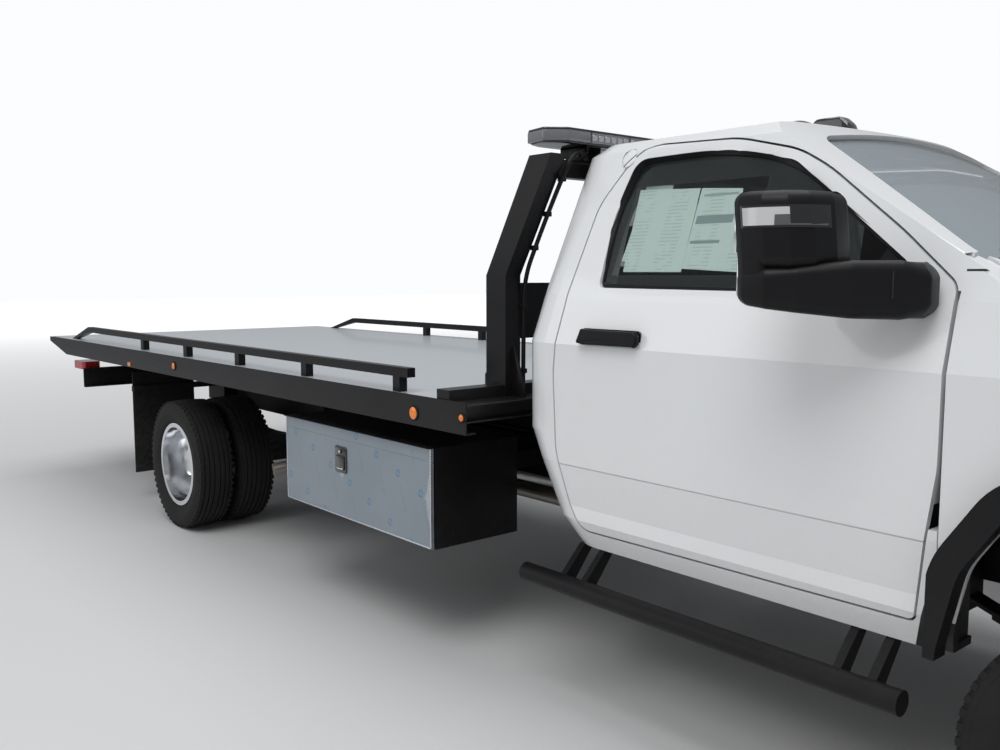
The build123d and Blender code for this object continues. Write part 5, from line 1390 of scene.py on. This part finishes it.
def channel(made, axis, level, span, deep, wide, low, high):
    """A sewn channel along a plane: faces sink towards their inside, within limits on another axis."""
    across = {"x": 0, "y": 1, "z": 2}
    made.normal_update()
    for vertex in made.verts:
        away = vertex.co[across[axis]] - level
        if abs(away) < wide * 3 and low < vertex.co[across[span]] < high:
            vertex.co -= vertex.normal * deep * 2.718 ** (-((away / wide) ** 2))


# Seats: lowest and highest Y of each, then their outlines from the side as X, Z
seat_sides = [(0.130, 0.760, "driver"), (-0.760, 0.090, "passenger")]
seat_profile = [(1.572, 1.132), (2.165, 1.132), (2.182, 1.212), (2.100, 1.236), (1.710, 1.214)]
seat_profile += [(1.566, 1.226)]
back_profile = [(1.654, 1.244), (1.548, 1.628), (1.428, 1.628), (1.496, 1.292), (1.545, 1.236)]
head_profile = [(1.520, 1.668), (1.498, 1.776), (1.412, 1.776), (1.432, 1.668)]

# Headrests: the middle of each, then how far it and its two posts are from that middle
headrests = [(0.445, "driver"), (-0.540, "passenger"), (-0.150, "middle")]
HEADREST_HALF = 0.140
HEADREST_POSTS = 0.060


def pad_piece(name, profile, low_y, high_y, soft, reach, channels):
    """A padded piece over a side outline, a little narrower than its space before it is blown up."""
    made = bmesh.new()
    slab(made, rounded(profile, 0.030, 4), "side", low_y + 0.012, high_y - 0.012, soft, 4)
    bmesh.ops.recalc_face_normals(made, faces=made.faces)
    made = swollen(made, reach)
    for channel_args in channels:
        channel(made, *channel_args)
    shown = piece(name, made, cloth, "chassis", 80)
    smooth = shown.modifiers.new("soft", "SUBSURF")
    smooth.levels = 1
    smooth.render_levels = 1
    return shown


def padded_seats():
    for low_y, high_y, word in seat_sides:
        inner = [low_y + 0.105, high_y - 0.105]
        seams = [("y", level, "x", 0.010, 0.009, 1.60, 2.14) for level in inner]
        seams += [("x", level, "y", 0.006, 0.008, inner[0], inner[1]) for level in (1.80, 1.92, 2.04)]
        cushion = pad_piece(f"seat_cushion_{word}", seat_profile, low_y, high_y, 0.028, 0.014, seams)
        if word == "driver":
            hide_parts("seat_cushions")
        seams = [("y", level, "z", 0.010, 0.009, 1.28, 1.60) for level in inner]
        seams += [("z", level, "y", 0.006, 0.008, inner[0], inner[1]) for level in (1.36, 1.46, 1.56)]
        pad_piece(f"seat_back_{word}", back_profile, low_y, high_y, 0.028, 0.012, seams)
    posts = bmesh.new()
    for middle, word in headrests:
        low_y, high_y = middle - HEADREST_HALF, middle + HEADREST_HALF
        rests = [("y", middle, "z", 0.003, 0.006, 1.0, 2.0)]
        pad_piece(f"headrest_{word}", head_profile, low_y, high_y, 0.026, 0.008, rests)
        for offset in (-HEADREST_POSTS, HEADREST_POSTS):
            rod(posts, (1.483, middle + offset, 1.600), (1.466, middle + offset, 1.700), 0.006, sides=16)
    piece("headrest_posts", posts, chrome, "chassis", 40)
    trim = bmesh.new()
    for low_y, high_y, word in seat_sides:
        for y in (low_y + 0.020, high_y - 0.046):
            boxy(trim, (1.640, y, 1.030), (2.160, y + 0.026, 1.128), 0.008)
    for y in (0.100, 0.114):
        rod(trim, (1.560, y, 1.190), (1.530, y, 1.260), 0.010, sides=16)
    piece("seat_side_trim", trim, dash_plastic, "chassis", 40)


# Cab inside: steering wheel pad, stalks, gauges, screen, vents, pedals and door cards

# Middle of the steering wheel, how far it leans, and where the stalks leave the column
WHEEL_PLACE = (2.412, 0.400, 1.432)
WHEEL_LEAN = radians(-22)
STALK_ROOT = (2.470, 0.400, 1.410)
# Where a ray meets no dashboard, its face is taken to be here
DASH_X = 2.56


def steering_parts():
    tilt = Matrix.Translation(WHEEL_PLACE) @ Matrix.Rotation(WHEEL_LEAN, 4, "Y")
    pad = bmesh.new()
    boxy(pad, (-0.030, -0.075, -0.055), (0.006, 0.075, 0.055), 0.014, 3, tilt)
    for end in (-1, 1):
        boxy(pad, (-0.020, end * 0.070, -0.018), (-0.002, end * 0.150, 0.018), 0.006, 2, tilt)
    piece("steering_pad", pad, dash_plastic, "chassis", 40)
    stalks = bmesh.new()
    for end in (-1, 1):
        rod(stalks, STALK_ROOT, (2.440, 0.400 + end * 0.150, 1.440), 0.008, 0.011, 16)
    rod(stalks, STALK_ROOT, (2.430, 0.270, 1.500), 0.007, 0.009, 16)
    piece("column_stalks", stalks, dash_plastic, "chassis", 40)


def dash_parts():
    tree = skin_of("dashboard")
    face = bmesh.new()
    glossy = bmesh.new()

    def on_dash(y, z):
        hit = tree.ray_cast(Vector((1.9, y, z)), Vector((1, 0, 0)))[0]
        return hit.x if hit else DASH_X

    x = on_dash(0.05, 1.43)
    boxy(face, (x - 0.012, -0.110, 1.350), (x + 0.030, 0.160, 1.520), 0.010, 3)
    boxy(glossy, (x - 0.014, -0.085, 1.372), (x - 0.006, 0.135, 1.498), 0.004)
    x = on_dash(0.40, 1.47)
    boxy(face, (x - 0.020, 0.250, 1.400), (x + 0.030, 0.550, 1.530), 0.016, 3)
    boxy(glossy, (x - 0.022, 0.268, 1.415), (x - 0.012, 0.532, 1.515), 0.004)
    for y in (-0.700, -0.300, 0.200, 0.720):
        x = on_dash(y, 1.47)
        boxy(face, (x - 0.008, y - 0.055, 1.440), (x + 0.020, y + 0.055, 1.500), 0.006)
        for step in range(4):
            z = 1.449 + step * 0.0135
            boxy(glossy, (x - 0.010, y - 0.048, z), (x - 0.004, y + 0.048, z + 0.006), 0.001)
    x = on_dash(-0.50, 1.33)
    boxy(face, (x - 0.006, -0.720, 1.260), (x + 0.020, -0.300, 1.400), 0.008)
    boxy(face, (x - 0.014, -0.560, 1.372), (x, -0.460, 1.386), 0.003)
    for y in (-0.080, -0.010, 0.060, 0.130):
        rod(face, (x + 0.020, y, 1.300), (x - 0.024, y, 1.300), 0.014, 0.013, 20)
    piece("dash_panels", face, dash_plastic, "chassis", 40)
    piece("dash_screens", glossy, gloss_black, "chassis", 40)


def pedals_and_door_cards():
    pedals = bmesh.new()
    for y, half in ((0.300, 0.030), (0.420, 0.050)):
        boxy(pedals, (2.590, y - half, 0.975), (2.606, y + half, 1.055), 0.005)
        rod(pedals, (2.604, y, 1.010), (2.690, y, 1.230), 0.008, sides=12)
    piece("pedals", pedals, frame_black, "chassis", 40)
    for side, word in SIDES:
        card = bmesh.new()
        skin = skin_of(f"door_{word}")
        hit = skin.ray_cast(Vector((2.15, 0, 1.25)), Vector((0, side, 0)))[0]
        inner = abs(hit.y) if hit else CAB_SKIN_Y
        boxy(card, (1.760, side * (inner - 0.060), 1.190), (2.420, side * (inner + 0.004), 1.245), 0.018, 3)
        boxy(card, (1.800, side * (inner - 0.012), 0.930), (2.640, side * (inner + 0.004), 1.130), 0.006)
        boxy(card, (2.300, side * (inner - 0.030), 1.330), (2.420, side * (inner + 0.004), 1.356), 0.008)
        piece(f"door_card_{word}", card, dash_plastic, f"{word}_door", 40)


def screen_spot(up, y, lift):
    """A place on the windscreen's curved sheet, lifted off it."""
    out = lift - y * y * SCREEN_BEND
    x = SCREEN_X - SCREEN_FACES_Z * up + SCREEN_FACES_X * out
    return Vector((x, y, SCREEN_Z + SCREEN_FACES_X * up + SCREEN_FACES_Z * out))


# Wipers at the foot of the windscreen: Y of each pivot and of its arm's tip, and how far up both are
wiper_reaches = [(-0.060, -0.700), (0.640, 0.020)]
WIPER_FOOT = 0.060
WIPER_RISE = 0.090
WIPER_PARTS = 8


def wipers():
    arms = bmesh.new()
    blades = bmesh.new()
    for pivot, tip in wiper_reaches:
        base = screen_spot(WIPER_FOOT, pivot, 0.012)
        far = screen_spot(WIPER_FOOT + WIPER_RISE, tip, 0.016)
        middle = base.lerp(far, 0.55)
        rod(arms, base - Vector((0, 0, 0.016)), base + Vector((0, 0, 0.014)), 0.013, 0.011, 20)
        rod(arms, base, far.lerp(base, 0.12), 0.005, 0.0035, 12)
        edge = []
        for number in range(WIPER_PARTS + 1):
            y = middle.y + (tip - middle.y) * (number / WIPER_PARTS * 2 - 1)
            up = WIPER_FOOT + WIPER_RISE * (y - pivot) / (tip - pivot) + 0.012
            edge.append(screen_spot(up, y, 0.007))
        for start, end in zip(edge, edge[1:]):
            rod(blades, start, end, 0.0045, sides=8)
    piece("wiper_arms", arms, grain_plastic, "chassis", 40)
    piece("wiper_blades", blades, flap_rubber, "chassis", 40)


# Front: lamp housings and bowls behind the clear lenses, a back to the grille, fog lamps, a blank plate

# Lamp bowls: distance from the middle plane, Z, radius
lamp_bowls = [(0.700, 1.272, 0.036), (0.805, 1.272, 0.036), (0.755, 1.182, 0.030)]
LAMP_BOWL_X = 4.150


def front_dressing():
    for side, word in SIDES:
        housing = bmesh.new()
        boxy(housing, (4.126, side * 0.625, 1.142), (4.134, side * 0.900, 1.318), 0.003)
        boxy(housing, (4.134, side * 0.640, 1.222), (4.170, side * 0.870, 1.230), 0.002)
        piece(f"lamp_housing_{word}", housing, gloss_black, "chassis", 40)
        bowls = bmesh.new()
        for y, z, radius in lamp_bowls:
            ring = [(-0.014, 0), (-0.012, radius * 0.55), (0.010, radius * 0.92), (0.018, radius)]
            ring += [(0.018, radius - 0.004), (0.006, radius * 0.80), (-0.006, radius * 0.42), (-0.008, 0)]
            turned_along_x(bowls, ring, (LAMP_BOWL_X, side * y, z), 1, radius * 0.42)
        piece(f"lamp_bowls_{word}", bowls, chrome, "chassis", 40)
        strip = bmesh.new()
        boxy(strip, (4.150, side * 0.640, 1.308), (4.158, side * 0.860, 1.316), 0.002)
        boxy(strip, (4.136, side * 0.888, 1.150), (4.146, side * 0.902, 1.310), 0.003)
        piece(f"lamp_strip_{word}", strip, signal_lens, "chassis", 40)
        fog = bmesh.new()
        ring = [(-0.010, 0.046), (0.0, 0.046), (0.004, 0.042), (0.001, 0.038), (-0.004, 0.0)]
        turned_along_x(fog, ring, (4.322, side * 0.720, 0.560), 1)
        piece(f"fog_lamp_{word}", fog, chrome, "chassis", 40)
    back = bmesh.new()
    boxy(back, (4.186, -0.555, 0.890), (4.196, 0.555, 1.340), 0.003)
    piece("grille_back", back, flap_rubber, "chassis", 40)
    plate = bmesh.new()
    boxy(plate, (4.3270, -0.155, 0.500), (4.3303, 0.155, 0.655), 0.001)
    for y in (-0.120, 0.120):
        rod(plate, (4.3290, y, 0.640), (4.3306, y, 0.640), 0.006, sides=16)
    piece("front_plate", plate, silver_metal, "chassis", 40)


# Skin between the hood's side, the fender's end and the fascia's top, seen from the side: X, Z
nose_corner = [
    (4.050, 1.388),
    (4.050, 1.488),
    (4.095, 1.476),
    (4.135, 1.448),
    (4.168, 1.400),
    (4.168, 1.388),
]


def nose_corners():
    for side, word in SIDES:
        corner = bmesh.new()
        slab(corner, nose_corner, "side", side * 0.854, side * 0.946, 0.010, 3)
        piece(f"nose_corner_{word}", corner, white_paint, "chassis", 60)


# Low lamps along the roof's front edge, and the aerial's fin behind the middle one: X, Z
ROOF_LAMPS_Y = (-0.340, 0.0, 0.340)
fin_outline = [
    (1.826, 2.110),
    (1.840, 2.168),
    (1.872, 2.198),
    (1.975, 2.198),
    (2.010, 2.168),
    (2.038, 2.106),
]


def roof_marks():
    lamps = bmesh.new()
    for y in ROOF_LAMPS_Y:
        ball(lamps, (2.010, y, 2.108), 1.0, (0.031, 0.099, 0.034))
    slab(lamps, fin_outline, "side", -0.034, 0.034, 0.012, 3)
    piece("roof_marks", lamps, smoked_lens, "chassis", 50, ("roof_lamps",))


# Rear: rims round the tail lamps, a blank plate, and the winch rope on its drum
TAIL_LAMP_X = -3.634
TAIL_LAMPS_Y = (0.760, 0.890, 1.020)
TAIL_LAMP_Z = 0.8085
ROPE_TURNS = 24
ROPE_PITCH = 0.011
WINCH_PLACE = (0.765, 0, 1.250)


def rear_dressing():
    rims = bmesh.new()
    for side, word in SIDES:
        for y in TAIL_LAMPS_Y:
            ring = [(0.0, 0.058), (0.006, 0.057), (0.009, 0.052), (0.005, 0.049), (0.0, 0.049)]
            turned_along_x(rims, ring, (TAIL_LAMP_X, side * y, TAIL_LAMP_Z), -1)
    piece("tail_lamp_rims", rims, flap_rubber, "tilting_frame", 40)
    plate = bmesh.new()
    boxy(plate, (-3.6155, 0.300, 0.750), (-3.6125, 0.610, 0.845), 0.001)
    piece("rear_plate", plate, silver_metal, "tilting_frame", 40)
    rope = bmesh.new()
    profile = [(-0.134, 0.060)]
    for number in range(ROPE_TURNS):
        y = -0.132 + number * ROPE_PITCH
        profile += [(y + 0.001, 0.0745), (y + 0.0035, 0.0790), (y + 0.0075, 0.0790), (y + 0.0100, 0.0745)]
    profile += [(0.134, 0.060)]
    turned(rope, profile, WINCH_PLACE, 64)
    piece("winch_rope", rope, rope_steel, "drum", 60)


padded_seats()
steering_parts()
dash_parts()
pedals_and_door_cards()
wipers()
front_dressing()
nose_corners()
roof_marks()
rear_dressing()


# Camera, floor and lights
CAMERA_PLACE = Vector((3.9449, -3.4169, 1.5882))
CAMERA_YAW = radians(40.401)
CAMERA_PITCH = radians(5.998)
CAMERA_LENS = 33.96
SENSOR_WIDTH = 36.0
FLOOR_HALF = 60
SKY_LEVEL = 0.36
# Name, place, aim, size, power
lamps = [
    ("key", (5, -8, 14), (0, 0, 0.6), 9, 1150),
    ("fill", (-8, -13, 6), (0, 0, 0.8), 9, 260),
    ("top", (0, 3, 15), (0, 0, 0.8), 12, 1000),
]


def looking(name, data, place, way):
    """A camera or lamp put at a place and turned to look along a way."""
    thing = in_scene(name, data)
    thing.location = place
    thing.rotation_mode = "QUATERNION"
    thing.rotation_quaternion = way.to_track_quat("-Z", "Y")
    return thing


def camera():
    data = bpy.data.cameras.new("camera")
    data.lens = CAMERA_LENS
    data.sensor_width = SENSOR_WIDTH
    data.clip_end = 300
    level = cos(CAMERA_PITCH)
    way = Vector((-cos(CAMERA_YAW) * level, sin(CAMERA_YAW) * level, -sin(CAMERA_PITCH)))
    bpy.context.scene.camera = looking("camera", data, CAMERA_PLACE, way)


def floor_sheet():
    """A pale floor that turns to white with distance, for the camera alone."""
    mesh = bpy.data.meshes.new("floor")
    made = bmesh.new()
    bmesh.ops.create_grid(made, x_segments=1, y_segments=1, size=FLOOR_HALF)
    made.to_mesh(mesh)
    made.free()
    floor = in_scene("floor", mesh)
    finish = Finish("floor_finish", {"Roughness": 0.9, "Base Color": grey(0.62), "Emission Strength": 1.0})
    x, y, z = finish.parts()
    away = finish.between((x * x + y * y).root(), 5.0, 26.0)
    seen = finish.node("ShaderNodeLightPath", {}, {}, "Is Camera Ray")
    finish.feed("Emission Color", finish.mix(away * seen, grey(0.0), grey(0.85)))
    mesh.materials.append(finish.material)


def sky():
    """A plain sky that lights the truck, and white behind it for the camera alone."""
    world = bpy.data.worlds.new("sky")
    world.use_nodes = True
    places = world.node_tree.nodes
    links = world.node_tree.links
    light = places["Background"]
    light.inputs["Color"].default_value = (0.93, 0.96, 1.0, 1)
    light.inputs["Strength"].default_value = SKY_LEVEL
    white = places.new("ShaderNodeBackground")
    white.inputs["Color"].default_value = (0.97, 0.98, 1.0, 1)
    paths = places.new("ShaderNodeLightPath")
    blend = places.new("ShaderNodeMixShader")
    links.new(paths.outputs["Is Camera Ray"], blend.inputs[0])
    links.new(light.outputs[0], blend.inputs[1])
    links.new(white.outputs[0], blend.inputs[2])
    links.new(blend.outputs[0], places["World Output"].inputs[0])
    bpy.context.scene.world = world


def area_lamps():
    for name, place, aim, size, power in lamps:
        data = bpy.data.lights.new(name, "AREA")
        data.size = size
        data.energy = power
        looking(name, data, place, Vector(aim) - Vector(place))


camera()
floor_sheet()
sky()
area_lamps()
bpy.context.scene.view_settings.view_transform = "Standard"
